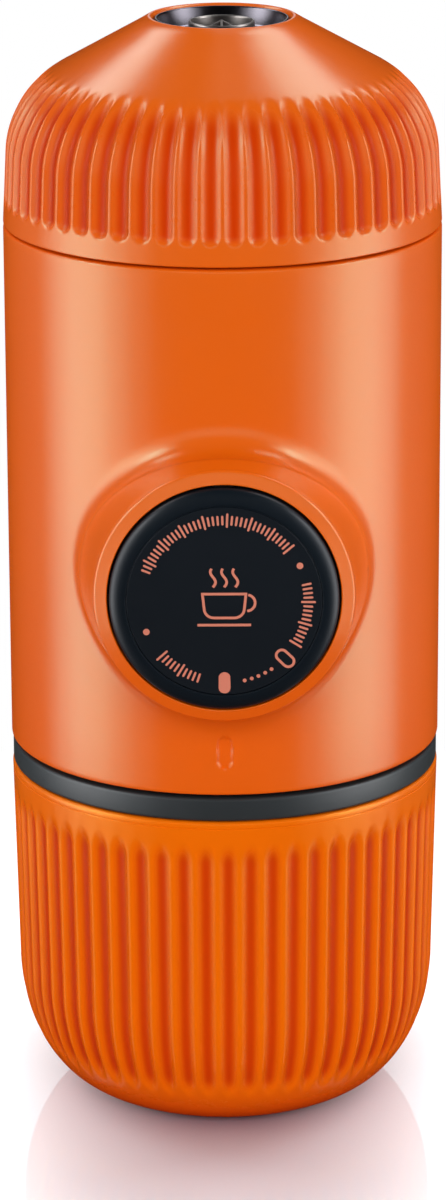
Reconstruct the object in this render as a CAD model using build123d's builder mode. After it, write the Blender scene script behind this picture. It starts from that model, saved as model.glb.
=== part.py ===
from build123d import *
from math import acos, atan2, cos, degrees, hypot, pi, radians, sin, sqrt, tan
import os

os.makedirs("parts", exist_ok=True)

# Handheld manual espresso maker, standing as stored: outlet at the top, cup over the water tank below.
# Millimetres, +Z up. The origin is the middle of the cup's flat base, and the pump knob points to -Y.

# ---------------------------------------------------------------- driving sizes
# stack of the outer parts along Z
body_r = 30.6
shell_wall = 2.0
cup_height = 48.86
cup_seam = 0.14
collar_height = 3.3
collar_shadow = 0.6
head_seam = 0.35
head_height = 28.6

# cup
cup_step = 0.07
cup_draft = 0.61
cup_corner_width = 12.72
cup_corner_height = 19.4
cup_floor = 2.4
cup_wall = 2.0
cup_rim_round = 0.5

# flutes of the cup and the head
flute_count = 60
cup_flute_r = 1.15
cup_flute_depth = 0.6
cup_flute_low = 9.6
cup_flute_drop = 4.66
cup_flute_turn = 0.8
head_flute_r = 1.45
head_flute_depth = 0.7
head_flute_rise = 4.2
head_flute_bend = 38.0
head_flute_fade = 5.5
head_flute_turn = 3.0

# water tank and its collar
tank_gap = 1.32
tank_wall = 1.8
tank_base_step = 1.7
tank_corner_drop = 3.4
tank_lift = 1.4
tank_neck_step = 1.6
tank_neck_length = 11.4
collar_step = 0.2
collar_fit = 0.05
collar_round = 0.5
skirt_wall = 0.9
skirt_length = 7.0
grip_ring_r = 0.75
grip_ring_drop = 4.4
grip_ring_fit = 0.09

# screw threads of the tank and the head
thread_depth = 0.9
thread_root = 1.6
thread_crest = 0.6
thread_gap = 0.35
thread_sink = 0.2
thread_start = 20.0
tank_thread_lead = 4.0
tank_thread_turns = 1.25
head_thread_rise = 3.0
head_thread_lead = 6.0
head_thread_turns = 1.1

# chassis inside the body
chassis_fit = 0.1
plate = 3.0
tank_seal_width = 2.2
tank_seal_height = 1.4
seal_gap = 0.05
face_gap = 0.02
deck = 2.4
block_front = 13.6
block_rear = 19.4
tower_width = 26.0
tower_front = 8.4
web = 6.0
post_r = 3.4
post_length = 8.0
post_inset = 8.1
post_turn = 45.0
post_count = 4
brew_screw_inset = 4.3
brew_screw_turn = 20.0
screw_r = 1.25
screw_head_r = 2.3
screw_head = 1.6
screw_length = 11.0
screw_fit = 0.1
screw_socket_r = 1.1
screw_socket = 0.9

# pump across the body
valve_cover = 2.6
deck_cover = 5.7
liner_bore_r = 6.1
liner_wall = 1.5
liner_rear = 17.0
liner_end = 1.6
barrel_r = 11.0
plunger_r = 4.8
piston_r = 6.0
piston_length = 6.4
piston_seal_fit = 0.05
piston_groove = 1.1
piston_groove_width = 2.4
piston_groove_back = 2.0
end_room = 3.0
liner_flange_r = 9.0
liner_flange = 1.0

# knob, its boss and what guides it
knob_r = 15.5
knob_proud = 1.4
knob_depth = 22.0
knob_round = 1.1
knob_wall = 1.6
knob_gap = 0.3
knob_plate = 3.4
face_margin = 2.3
face_depth = 1.0
face_fit = 0.05
knob_fit = 0.1
hub_r = 6.4
hub_length = 4.0
boss_height = 8.4
boss_slope = 0.6
boss_width = 1.85
boss_rim = 0.4
boss_draft = 9.0
boss_blend = 4.0
boss_lip = 1.7
guide_wall = 1.5
guide_inset = 2.0
guide_fit = 0.1
guide_relief = 0.6
lock_ring_length = 3.0
lock_keys = 3
key_width = 3.0
key_depth = 0.7
key_fit = 0.15
spring_mean_r = 9.4
spring_wire_r = 0.8
spring_turns = 7.0
washer_thickness = 0.8
washer_r = 11.0
plunger_screw_r = 1.5
plunger_screw_head_r = 2.8
plunger_screw_head = 1.2
plunger_screw_length = 12.0

# alignment mark under the boss
mark_width = 2.3
mark_rise = 3.8
mark_length = 4.8
mark_depth = 0.4

# valves
valve_bore_r = 2.9
passage_r = 1.5
port_r = 1.2
bleed_r = 0.8
bleed_rise = 1.2
ball_r = 2.1
ball_gap = 0.02
valve_room = 6.4
valve_wire_r = 0.22
valve_spring_r = 1.5
valve_spring_turns = 4.0
relief_x = 8.6
relief_plug_height = 2.6
strainer_r = 4.4
strainer_height = 3.4
strainer_wall = 0.7
strainer_slots = 8
strainer_slot = 1.0
vent_x = 12.0
vent_cap_r = 3.2
vent_cap = 0.8
vent_stem_r = 1.1
vent_bulb_r = 1.6
vent_bulb = 1.2
vent_fit = 0.15

# brewing chamber, basket and scoop
neck_step = 5.0
neck_wall = 3.6
neck_rise = 11.6
neck_reserve = 4.84
chamber_plate = 7.58
shoulder_height = 3.0
shell_lip = 2.0
shell_lip_gap = 1.2
ledge = 1.2
ledge_width = 1.6
screen_gap = 0.4
screen_thickness = 0.7
screen_hole_r = 0.55
screen_screw_length = 7.0
screen_rings = 5
screen_ring_step = 3.4
gasket_width = 2.0
gasket_height = 1.1
basket_wall = 0.5
basket_corner = 1.5
basket_flange_gap = 0.3
basket_flange_width = 1.4
basket_flange = 0.7
basket_height = 17.5
basket_hole_r = 0.4
basket_rings = 6
basket_ring_step = 3.0
scoop_wall = 1.1
scoop_fit = 0.5

# outlet head
shoulder_draft = 0.5
shoulder_drop = 3.8
shoulder_radius = 14.1
opening_r = 9.45
lip_round = 0.65
lining_gap = 0.1
lining_foot = 0.5
head_gasket_width = 3.0
head_gasket_height = 2.0
spigot_gap = 0.6
spigot_wall = 2.0
support_gap = 1.5
support_thickness = 1.0
support_hole_r = 0.8
support_rings = 4
support_ring_step = 4.0
spout_r = 4.6
spout_wall = 0.5
spout_drop = 0.7
spout_length = 6.4
spout_fins = 6
spout_turn = 30.0
fin_width = 0.45
fin_drop = 0.6
fin_height = 2.2
bezel_fit = 0.1
bezel_wall = 0.55
bezel_round = 0.18
bezel_drop = 0.25
bezel_depth = 3.6
bezel_floor = 0.8
funnel_skirt = 1.74
funnel_lead = 0.3

# ---------------------------------------------------------------- radii worked out from them
cup_rim_r = body_r - cup_step
cup_corner_r = cup_rim_r - cup_draft
cup_base_r = cup_corner_r - cup_corner_width
tank_r = cup_corner_r - cup_wall - tank_gap
tank_base_r = cup_base_r - tank_base_step
tank_neck_r = tank_r - tank_neck_step
collar_r = body_r - collar_step
shell_bore_r = body_r - shell_wall
chassis_r = shell_bore_r - chassis_fit
post_circle_r = chassis_r - post_inset
socket_bore_r = tank_neck_r + thread_depth + thread_gap
liner_r = liner_bore_r + liner_wall
neck_r = body_r - neck_step
chamber_r = neck_r - neck_wall
shell_lip_r = neck_r + shell_lip_gap
brew_screw_circle_r = chamber_r - brew_screw_inset
screen_r = chamber_r - screen_gap
basket_flange_r = chamber_r - basket_flange_gap
basket_r = basket_flange_r - basket_flange_width
spigot_r = chamber_r - spigot_gap
head_bore_r = neck_r + thread_depth + thread_gap
shoulder_r = body_r - shoulder_draft
lip_r = opening_r + lip_round
face_r = knob_r - face_margin
knob_bore_r = knob_r + knob_gap
guide_r = knob_r + guide_wall
boss_edge_r = knob_bore_r + boss_width

# distances in front of the body's axis
boss_front = body_r + boss_height
boss_edge = boss_front - boss_slope
knob_front = boss_front + knob_proud
knob_rear = boss_front - knob_depth
knob_inner = knob_front - knob_plate
guide_rear = knob_rear + guide_inset
piston_tip = liner_rear - liner_end - end_room
valve_y = piston_tip + end_room / 2

# heights, from the cup up to the outlet
tank_base = cup_floor + tank_lift
tank_corner_height = cup_corner_height - tank_corner_drop
cup_flute_high = cup_height - cup_flute_drop
collar_low = cup_height + cup_seam
collar_top = collar_low + collar_height
body_low = collar_top + collar_shadow
neck_end = collar_low + tank_neck_length
socket_low = body_low + head_seam
plate_low = neck_end + tank_seal_height + 2 * seal_gap
plate_top = plate_low + plate
inlet_seat_z = plate_top + deck
pump_z = inlet_seat_z + valve_room + valve_cover + liner_r
outlet_seat_z = pump_z + liner_r + deck
relief_seat_z = outlet_seat_z + ball_r
deck_height = outlet_seat_z + valve_room + deck_cover
plug_low = deck_height - relief_plug_height
brew_low = deck_height + face_gap
chamber_floor = brew_low + chamber_plate
screen_low = chamber_floor + ledge + face_gap
screen_top = screen_low + screen_thickness
basket_low = screen_top + gasket_height + 2 * face_gap
basket_top = basket_low + basket_height
support_low = basket_top + support_gap
neck_top = basket_top + neck_reserve
ceiling_z = neck_top + head_gasket_height + 2 * seal_gap
head_low = neck_top - neck_rise
body_top = head_low - head_seam
body_length = body_top - body_low
total_height = head_low + head_height
shoulder_z = ceiling_z - shoulder_drop
bezel_top = total_height - bezel_drop
bezel_low = bezel_top - bezel_depth
spout_top = total_height - spout_drop
spout_low = spout_top - spout_length
mark_low = body_low + mark_rise
mark_high = mark_low + mark_length
head_flute_low = head_low + head_flute_rise

block_low = plate_top + face_gap

# the pump's axis runs along Y at this height
pump_axis = Axis((0, 0, pump_z), (0, 1, 0))
pump_level = Plane.XY.offset(pump_z)


def pump_plane(front):
    # a plane across the pump's axis, that distance in front of the body's axis and facing outwards
    return Plane(origin=(0, -front, pump_z), x_dir=(1, 0, 0), z_dir=(0, -1, 0))


# ---------------------------------------------------------------- shared forms
taper = atan2(body_r - shoulder_r, shoulder_z - head_low)
shoulder_centre_r = shoulder_r - shoulder_radius * cos(taper)
shoulder_centre_z = shoulder_z - shoulder_radius * sin(taper)
lip_reach = hypot(lip_r - shoulder_centre_r, total_height - shoulder_centre_z)
lip_bearing = atan2(total_height - shoulder_centre_z, lip_r - shoulder_centre_r)
cone = lip_bearing - acos(shoulder_radius / lip_reach)


def shoulder_point(depth, angle):
    # a point of the dome's round shoulder, moved inwards by depth
    radius = shoulder_radius - depth
    return (shoulder_centre_r + radius * cos(angle), shoulder_centre_z + radius * sin(angle))


def dome_foot(depth, low):
    start = shoulder_point(depth, taper)
    return (start[0] + (start[1] - low) * tan(taper), low)


def dome_apex(depth, end_r):
    end = shoulder_point(depth, cone)
    return (end_r, end[1] + (end[0] - end_r) / tan(cone))


def dome_line(depth, low, end_r):
    # wall, shoulder and cone of the dome in one run, from its foot at that height to the radius end_r
    Line(dome_foot(depth, low), shoulder_point(depth, taper))
    middle = shoulder_point(depth, (taper + cone) / 2)
    ThreePointArc(shoulder_point(depth, taper), middle, shoulder_point(depth, cone))
    Line(shoulder_point(depth, cone), dome_apex(depth, end_r))


def cup_line(depth, floor):
    # the cup's base, elliptical corner and drafted wall, moved inwards by depth and up by floor
    corner_r = cup_corner_r - depth
    Line((0, floor), (cup_base_r, floor))
    EllipticalCenterArc(
        (cup_base_r, cup_corner_height), corner_r - cup_base_r, cup_corner_height - floor, 270, arc_size=90
    )
    Line((corner_r, cup_corner_height), (cup_rim_r - depth, cup_height))


def thread_ridge(radius, low, lead, turns, outward):
    # one thread ridge wound on a cylinder: outward is 1 on a neck and -1 inside a socket
    with BuildPart() as ridge:
        with BuildLine():
            Helix(pitch=lead, height=lead * turns, radius=radius, center=(0, 0, low))
        climb = lead / (2 * pi * radius)
        with BuildSketch(Plane(origin=(radius, 0, low), x_dir=(outward, 0, 0), z_dir=(0, 1, climb))):
            with BuildLine():
                Polyline(
                    (-thread_sink, -thread_root / 2),
                    (thread_depth, -thread_crest / 2),
                    (thread_depth, thread_crest / 2),
                    (-thread_sink, thread_root / 2),
                    close=True,
                )
            make_face()
        sweep(is_frenet=True)
    return Rot(0, 0, thread_start) * ridge.part


def coil(radius, wire_r, length, turns, plane):
    # an open helical spring that starts on the plane and runs along its normal
    with BuildPart() as spring:
        with BuildLine() as path:
            Helix(pitch=length / turns, height=length, radius=radius)
        with BuildSketch(Plane(origin=path.line @ 0, z_dir=path.line % 0)):
            Circle(wire_r)
        sweep(is_frenet=True)
    return plane * spring.part


def ring_of_holes(hole_r, rings, step, depth):
    # concentric rings of holes, six more in each, drilled from the current plane
    for ring in range(1, rings + 1):
        with PolarLocations(ring * step, 6 * ring):
            Hole(hole_r, depth)


# ---------------------------------------------------------------- portable cup
cup_flute_out = cup_flute_r - cup_flute_depth
cup_flute_rise = cup_corner_height + cup_flute_out
cup_flute_bend_r = cup_corner_r + cup_flute_out
cup_flute_angle = degrees(acos((cup_corner_height - cup_flute_low) / cup_flute_rise))

with BuildPart() as cup_flute:
    with BuildLine(Plane.XZ) as cup_flute_path:
        EllipticalCenterArc(
            (cup_base_r, cup_corner_height),
            cup_flute_bend_r - cup_base_r,
            cup_flute_rise,
            270 + cup_flute_angle,
            arc_size=90 - cup_flute_angle,
        )
        Line((cup_flute_bend_r, cup_corner_height), (cup_rim_r + cup_flute_out, cup_flute_high))
    with BuildSketch(Plane(origin=cup_flute_path.line @ 0, z_dir=cup_flute_path.line % 0)):
        Circle(cup_flute_r)
    sweep(path=cup_flute_path.line)
    with Locations(cup_flute_path.line @ 0, cup_flute_path.line @ 1):
        Sphere(cup_flute_r)

with BuildPart() as portable_cup:
    with BuildSketch(Plane.XZ):
        with BuildLine():
            cup_line(0, 0)
            Line((cup_rim_r, cup_height), (cup_rim_r - cup_wall, cup_height))
            cup_line(cup_wall, cup_floor)
            Line((0, cup_floor), (0, 0))
        make_face()
    revolve(axis=Axis.Z)
    rim_edges = portable_cup.edges().filter_by(GeomType.CIRCLE).group_by(Axis.Z)[-1]
    fillet(rim_edges, cup_rim_round)
    with PolarLocations(0, flute_count, start_angle=cup_flute_turn):
        add(cup_flute.part, mode=Mode.SUBTRACT)
portable_cup.part.label = "portable_cup"
export_step(portable_cup.part, "parts/portable_cup.step")

# ---------------------------------------------------------------- water tank, collar and grip ring
tank_thread_low = body_low + thread_root


def tank_line(depth, high, neck_depth):
    # the tank's base, rounded corner, wall and neck, moved inwards by depth
    corner_z = tank_base + tank_corner_height
    floor = tank_base + depth
    Line((0, floor), (tank_base_r, floor))
    corner_r = tank_r - depth
    EllipticalCenterArc((tank_base_r, corner_z), corner_r - tank_base_r, corner_z - floor, 270, arc_size=90)
    Line((corner_r, corner_z), (corner_r, high))
    Line((corner_r, high), (tank_neck_r - neck_depth, high))
    Line((tank_neck_r - neck_depth, high), (tank_neck_r - neck_depth, neck_end))


with BuildPart() as water_tank:
    with BuildSketch(Plane.XZ):
        with BuildLine():
            tank_line(0, collar_low, 0)
            Line((tank_neck_r, neck_end), (tank_neck_r - tank_wall, neck_end))
            tank_line(tank_wall, collar_low - tank_wall, tank_wall)
            Line((0, tank_base + tank_wall), (0, tank_base))
        make_face()
    revolve(axis=Axis.Z)
    add(thread_ridge(tank_neck_r, tank_thread_low, tank_thread_lead, tank_thread_turns, 1))
water_tank.part.label = "water_tank"
export_step(water_tank.part, "parts/water_tank.step")

skirt_r = tank_r + collar_fit + skirt_wall
grip_ring_z = collar_low - grip_ring_drop
grip_ring_bore_r = cup_rim_r - cup_wall - (cup_rim_r - cup_corner_r) * (cup_height - grip_ring_z) / (
    cup_height - cup_corner_height
)
grip_ring_mid_r = grip_ring_bore_r - grip_ring_fit - grip_ring_r

with BuildPart() as tank_collar:
    with BuildSketch(Plane.XZ):
        with BuildLine():
            Polyline(
                (tank_neck_r + collar_fit, collar_low + face_gap),
                (tank_neck_r + collar_fit, collar_top),
                (collar_r, collar_top),
                (collar_r, collar_low),
                (skirt_r, collar_low),
                (skirt_r, collar_low - skirt_length),
                (tank_r + collar_fit, collar_low - skirt_length),
                (tank_r + collar_fit, collar_low + face_gap),
                close=True,
            )
        make_face()
    revolve(axis=Axis.Z)
    collar_edges = tank_collar.edges().filter_by(GeomType.CIRCLE).sort_by(SortBy.RADIUS)[-2:]
    fillet(collar_edges, collar_round)
    with BuildSketch(Plane.XZ):
        with Locations((grip_ring_mid_r, grip_ring_z)):
            Rectangle(2 * grip_ring_r, 2 * grip_ring_r)
    revolve(axis=Axis.Z, mode=Mode.SUBTRACT)
tank_collar.part.label = "tank_collar"
export_step(tank_collar.part, "parts/tank_collar.step")

with BuildPart() as cup_grip_ring:
    with BuildSketch(Plane.XZ):
        with Locations((grip_ring_mid_r, grip_ring_z)):
            Circle(grip_ring_r - face_gap)
    revolve(axis=Axis.Z)
cup_grip_ring.part.label = "cup_grip_ring"
export_step(cup_grip_ring.part, "parts/cup_grip_ring.step")

with BuildPart() as tank_seal:
    with BuildSketch(Plane.XZ):
        with Locations((tank_neck_r - tank_wall / 2, neck_end + seal_gap + tank_seal_height / 2)):
            Rectangle(tank_seal_width, tank_seal_height)
    revolve(axis=Axis.Z)
tank_seal.part.label = "tank_seal"
export_step(tank_seal.part, "parts/tank_seal.step")

# ---------------------------------------------------------------- body shell with the boss for the knob
with BuildPart() as main_body:
    with BuildSketch(Plane.XY.offset(body_low)):
        Circle(body_r)
    extrude(amount=body_length)
    with BuildSketch(pump_level):
        with BuildLine():
            Polyline(
                (0, 0),
                (0, -boss_front),
                (knob_bore_r, -boss_front),
                (boss_edge_r - boss_rim, -boss_edge),
                (boss_edge_r, -boss_edge),
                (boss_edge_r + boss_edge * tan(radians(boss_draft)), 0),
                close=True,
            )
        make_face()
    revolve(axis=pump_axis)
    boss_root = main_body.edges().filter_by(GeomType.CIRCLE, reverse=True)
    fillet(boss_root.filter_by(GeomType.LINE, reverse=True), boss_blend)
    with BuildSketch(Plane.XY.offset(body_low)):
        Circle(shell_bore_r)
    extrude(amount=body_length - shell_lip, mode=Mode.SUBTRACT)
    with BuildSketch(Plane.XY.offset(body_top - shell_lip)):
        Circle(shell_lip_r)
    extrude(amount=shell_lip, mode=Mode.SUBTRACT)
    with BuildSketch(pump_plane(0)):
        Circle(guide_r + guide_fit)
    extrude(amount=boss_front - boss_lip, mode=Mode.SUBTRACT)
    with BuildSketch(pump_plane(0)):
        Circle(knob_bore_r)
    extrude(amount=boss_front, mode=Mode.SUBTRACT)
    with BuildSketch(Plane.XZ.offset(body_r - mark_depth)):
        with Locations((0, (mark_low + mark_high) / 2)):
            SlotOverall(mark_length, mark_width, rotation=90)
    extrude(amount=mark_depth + shell_wall, mode=Mode.SUBTRACT)
main_body.part.label = "main_body"
export_step(main_body.part, "parts/main_body.step")

# ---------------------------------------------------------------- chassis
def cap_screw(head_r, head, shank_r, length):
    # a socket screw whose head's top lies on the plane's origin and whose shank runs down from it
    with BuildPart() as screw:
        Cylinder(head_r, head, align=(Align.CENTER, Align.CENTER, Align.MAX))
        Cylinder(shank_r, length, align=(Align.CENTER, Align.CENTER, Align.MAX))
        with BuildSketch():
            RegularPolygon(screw_socket_r, 6)
        extrude(amount=-screw_socket, mode=Mode.SUBTRACT)
    return screw.part


socket_thread_low = tank_thread_low + tank_thread_lead / 2
socket_thread_turns = tank_thread_turns - 1 / 2
plate_under = Plane(origin=(0, 0, plate_low), x_dir=(1, 0, 0), z_dir=(0, 0, -1))

with BuildPart() as tank_socket:
    with BuildSketch(Plane.XZ):
        with BuildLine():
            Polyline(
                (0, plate_low),
                (socket_bore_r, plate_low),
                (socket_bore_r, socket_low),
                (chassis_r, socket_low),
                (chassis_r, plate_top),
                (0, plate_top),
                close=True,
            )
        make_face()
    revolve(axis=Axis.Z)
    with Locations(plate_under):
        with PolarLocations(post_circle_r, post_count, start_angle=post_turn):
            CounterBoreHole(screw_r + screw_fit, screw_head_r + screw_fit, screw_head + face_gap, plate)
        with Locations((0, -valve_y)):
            Hole(passage_r, plate)
        with Locations((-vent_x, 0)):
            Hole(vent_stem_r + vent_fit, plate)
    add(thread_ridge(socket_bore_r, socket_thread_low, tank_thread_lead, socket_thread_turns, -1))
tank_socket.part.label = "tank_socket"
export_step(tank_socket.part, "parts/tank_socket.step")

with BuildPart(plate_under) as chassis_screws:
    with PolarLocations(post_circle_r, post_count, start_angle=post_turn):
        add(cap_screw(screw_head_r, screw_head, screw_r, screw_length))
chassis_screws.part.label = "chassis_screws"
export_step(chassis_screws.part, "parts/chassis_screws.step")

with BuildPart(Plane.XY.offset(plate_low - face_gap)) as inlet_strainer:
    with Locations((0, valve_y)):
        Cylinder(strainer_r, strainer_height, align=(Align.CENTER, Align.CENTER, Align.MAX))
        Cylinder(
            strainer_r - strainer_wall,
            strainer_height - strainer_wall,
            align=(Align.CENTER, Align.CENTER, Align.MAX),
            mode=Mode.SUBTRACT,
        )
    with Locations((0, valve_y, -strainer_wall)):
        with PolarLocations(0, strainer_slots):
            Box(
                2 * strainer_r,
                strainer_slot,
                strainer_height - 3 * strainer_wall,
                align=(Align.MIN, Align.CENTER, Align.MAX),
                mode=Mode.SUBTRACT,
            )
inlet_strainer.part.label = "inlet_strainer"
export_step(inlet_strainer.part, "parts/inlet_strainer.step")

with BuildPart(Plane.XY.offset(plate_low - face_gap)) as air_vent:
    with Locations((-vent_x, 0)):
        Cylinder(vent_cap_r, vent_cap, align=(Align.CENTER, Align.CENTER, Align.MAX))
        Cylinder(vent_stem_r, plate + 2 * face_gap, align=(Align.CENTER, Align.CENTER, Align.MIN))
    with Locations((-vent_x, 0, plate + 2 * face_gap)):
        Cone(vent_bulb_r, vent_stem_r, vent_bulb, align=(Align.CENTER, Align.CENTER, Align.MIN))
air_vent.part.label = "air_vent"
export_step(air_vent.part, "parts/air_vent.step")

with BuildPart() as pump_block:
    with BuildSketch(Plane.XY.offset(block_low)):
        Circle(chassis_r)
    extrude(amount=deck)
    with BuildSketch(Plane.XY.offset(deck_height)):
        Circle(chassis_r)
    extrude(amount=-deck)
    with BuildSketch(Plane.XY.offset(block_low)):
        with Locations((0, (tower_front + block_rear) / 2)):
            Rectangle(tower_width, block_rear - tower_front)
        with Locations((0, (block_rear - block_front) / 2)):
            Rectangle(web, block_rear + block_front)
    extrude(amount=deck_height - block_low)
    with BuildSketch(pump_plane(block_front)):
        Circle(barrel_r)
    extrude(amount=-(block_front + block_rear))
    with BuildSketch(Plane.XY.offset(block_low)):
        with PolarLocations(post_circle_r, post_count, start_angle=post_turn):
            Circle(post_r)
    extrude(amount=post_length)
    with BuildSketch(Plane.XY.offset(deck_height)):
        with PolarLocations(brew_screw_circle_r, post_count, start_angle=brew_screw_turn):
            Circle(post_r)
    extrude(amount=-post_length)
    with BuildSketch(pump_plane(block_front)):
        Circle(liner_r + face_gap)
    extrude(amount=-(block_front + liner_rear + face_gap), mode=Mode.SUBTRACT)
    with BuildSketch(pump_plane(knob_rear - guide_relief)):
        Circle(guide_r + guide_fit + guide_relief)
    extrude(amount=body_r, mode=Mode.SUBTRACT)
    with Locations(Plane.XY.offset(block_low)):
        with PolarLocations(post_circle_r, post_count, start_angle=post_turn):
            Cylinder(screw_r + screw_fit, 2 * post_length, mode=Mode.SUBTRACT)
        with Locations((-vent_x, 0)):
            Cylinder(vent_bulb_r + screw_fit + vent_fit, 2 * deck + vent_bulb, mode=Mode.SUBTRACT)
        with Locations((0, valve_y)):
            Cylinder(passage_r, 2 * deck + vent_bulb, mode=Mode.SUBTRACT)
    with Locations(Plane.XY.offset(deck_height)):
        with PolarLocations(brew_screw_circle_r, post_count, start_angle=brew_screw_turn):
            Cylinder(screw_r + screw_fit, 2 * post_length, mode=Mode.SUBTRACT)
        with Locations((0, valve_y)):
            Cylinder(passage_r, 2 * post_length, mode=Mode.SUBTRACT)
        with Locations((relief_x, valve_y)):
            Cylinder(
                valve_bore_r,
                deck_height - relief_seat_z,
                align=(Align.CENTER, Align.CENTER, Align.MAX),
                mode=Mode.SUBTRACT,
            )
    with Locations((0, valve_y, inlet_seat_z), (0, valve_y, outlet_seat_z)):
        Cylinder(
            valve_bore_r, valve_room, align=(Align.CENTER, Align.CENTER, Align.MIN), mode=Mode.SUBTRACT
        )
    with Locations((0, valve_y, inlet_seat_z)):
        Cylinder(
            port_r,
            outlet_seat_z - inlet_seat_z,
            align=(Align.CENTER, Align.CENTER, Align.MIN),
            mode=Mode.SUBTRACT,
        )
    with BuildSketch(Plane.YZ):
        with Locations((valve_y, outlet_seat_z + bleed_rise)):
            Circle(bleed_r)
    extrude(amount=relief_x, mode=Mode.SUBTRACT)
    with Locations((relief_x, valve_y, outlet_seat_z + bleed_rise)):
        Cylinder(
            bleed_r, ball_r, align=(Align.CENTER, Align.CENTER, Align.MIN), mode=Mode.SUBTRACT
        )
    with BuildSketch(Plane.XZ.offset(-valve_y)):
        with Locations((relief_x, relief_seat_z + ball_r)):
            Circle(bleed_r)
    extrude(amount=-block_rear, mode=Mode.SUBTRACT)
pump_block.part.label = "pump_block"
export_step(pump_block.part, "parts/pump_block.step")


def ball_height(seat_r, seat_z):
    # where the middle of a valve ball comes when it rests on the rim of the passage under it
    return seat_z + sqrt(ball_r ** 2 - seat_r ** 2) + ball_gap


def ball_at(x, seat_r, seat_z):
    with BuildPart() as ball:
        with Locations((x, valve_y, ball_height(seat_r, seat_z))):
            Sphere(ball_r)
    return ball.part


def valve_spring(x, seat_r, seat_z, ceiling):
    # the light spring between a valve ball and the ceiling of its chamber
    low = ball_height(seat_r, seat_z) + ball_r
    length = ceiling - valve_wire_r - face_gap - low
    place = Plane(origin=(x, valve_y, low))
    return coil(valve_spring_r, valve_wire_r, length, valve_spring_turns, place)


with BuildPart() as inlet_ball:
    add(ball_at(0, passage_r, inlet_seat_z))
inlet_ball.part.label = "inlet_ball"
export_step(inlet_ball.part, "parts/inlet_ball.step")

with BuildPart() as inlet_spring:
    add(valve_spring(0, passage_r, inlet_seat_z, inlet_seat_z + valve_room))
inlet_spring.part.label = "inlet_spring"
export_step(inlet_spring.part, "parts/inlet_spring.step")

with BuildPart() as outlet_ball:
    add(ball_at(0, port_r, outlet_seat_z))
outlet_ball.part.label = "outlet_ball"
export_step(outlet_ball.part, "parts/outlet_ball.step")

with BuildPart() as outlet_spring:
    add(valve_spring(0, port_r, outlet_seat_z, outlet_seat_z + valve_room))
outlet_spring.part.label = "outlet_spring"
export_step(outlet_spring.part, "parts/outlet_spring.step")

with BuildPart() as relief_ball:
    add(ball_at(relief_x, bleed_r, relief_seat_z))
relief_ball.part.label = "relief_ball"
export_step(relief_ball.part, "parts/relief_ball.step")

with BuildPart() as relief_spring:
    add(valve_spring(relief_x, bleed_r, relief_seat_z, plug_low))
relief_spring.part.label = "relief_spring"
export_step(relief_spring.part, "parts/relief_spring.step")

with BuildPart(Plane(origin=(relief_x, valve_y, deck_height))) as relief_plug:
    Cylinder(valve_bore_r - face_gap, relief_plug_height, align=(Align.CENTER, Align.CENTER, Align.MAX))
    with BuildSketch():
        RegularPolygon(screw_socket_r, 6)
    extrude(amount=-screw_socket, mode=Mode.SUBTRACT)
relief_plug.part.label = "relief_plug"
export_step(relief_plug.part, "parts/relief_plug.step")

# ---------------------------------------------------------------- pump: liner, plunger, spring
with BuildPart() as cylinder_liner:
    with BuildSketch(pump_level):
        with BuildLine():
            Polyline(
                (0, liner_rear - liner_end),
                (liner_bore_r, liner_rear - liner_end),
                (liner_bore_r, -(block_front + liner_flange)),
                (liner_flange_r, -(block_front + liner_flange)),
                (liner_flange_r, -(block_front + face_gap)),
                (liner_r, -(block_front + face_gap)),
                (liner_r, liner_rear),
                (0, liner_rear),
                close=True,
            )
        make_face()
    revolve(axis=pump_axis)
    with Locations((0, valve_y, pump_z)):
        Cylinder(port_r, 2 * barrel_r, mode=Mode.SUBTRACT)
cylinder_liner.part.label = "cylinder_liner"
export_step(cylinder_liner.part, "parts/cylinder_liner.step")

washer_front = block_front + liner_flange + washer_thickness

with BuildPart() as spring_washer:
    with BuildSketch(pump_plane(washer_front - washer_thickness + face_gap)):
        Circle(washer_r)
        Circle(liner_bore_r, mode=Mode.SUBTRACT)
    extrude(amount=washer_thickness)
spring_washer.part.label = "spring_washer"
export_step(spring_washer.part, "parts/spring_washer.step")

groove_rear = piston_tip - piston_groove_back
groove_front = groove_rear - piston_groove_width

with BuildPart() as plunger:
    with BuildSketch(pump_level):
        with BuildLine():
            Polyline(
                (0, -(knob_inner - face_gap)),
                (plunger_r, -(knob_inner - face_gap)),
                (plunger_r, piston_tip - piston_length),
                (piston_r, piston_tip - piston_length),
                (piston_r, groove_front),
                (piston_r - piston_groove, groove_front),
                (piston_r - piston_groove, groove_rear),
                (piston_r, groove_rear),
                (piston_r, piston_tip),
                (0, piston_tip),
                close=True,
            )
        make_face()
    revolve(axis=pump_axis)
    with BuildSketch(pump_plane(knob_inner - face_gap)):
        Circle(plunger_screw_r + screw_fit)
    extrude(amount=-plunger_screw_length, mode=Mode.SUBTRACT)
plunger.part.label = "plunger"
export_step(plunger.part, "parts/plunger.step")

with BuildPart() as plunger_seal:
    with BuildSketch(pump_plane(-groove_front - face_gap)):
        Circle(liner_bore_r - piston_seal_fit)
        Circle(piston_r - piston_groove + face_gap, mode=Mode.SUBTRACT)
    extrude(amount=-(piston_groove_width - 2 * face_gap))
plunger_seal.part.label = "plunger_seal"
export_step(plunger_seal.part, "parts/plunger_seal.step")

spring_room = knob_inner - washer_front - 2 * (spring_wire_r + face_gap + key_fit)

with BuildPart() as return_spring:
    add(
        coil(
            spring_mean_r,
            spring_wire_r,
            spring_room,
            spring_turns,
            pump_plane(washer_front + spring_wire_r + face_gap + key_fit),
        )
    )
return_spring.part.label = "return_spring"
export_step(return_spring.part, "parts/return_spring.step")

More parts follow.
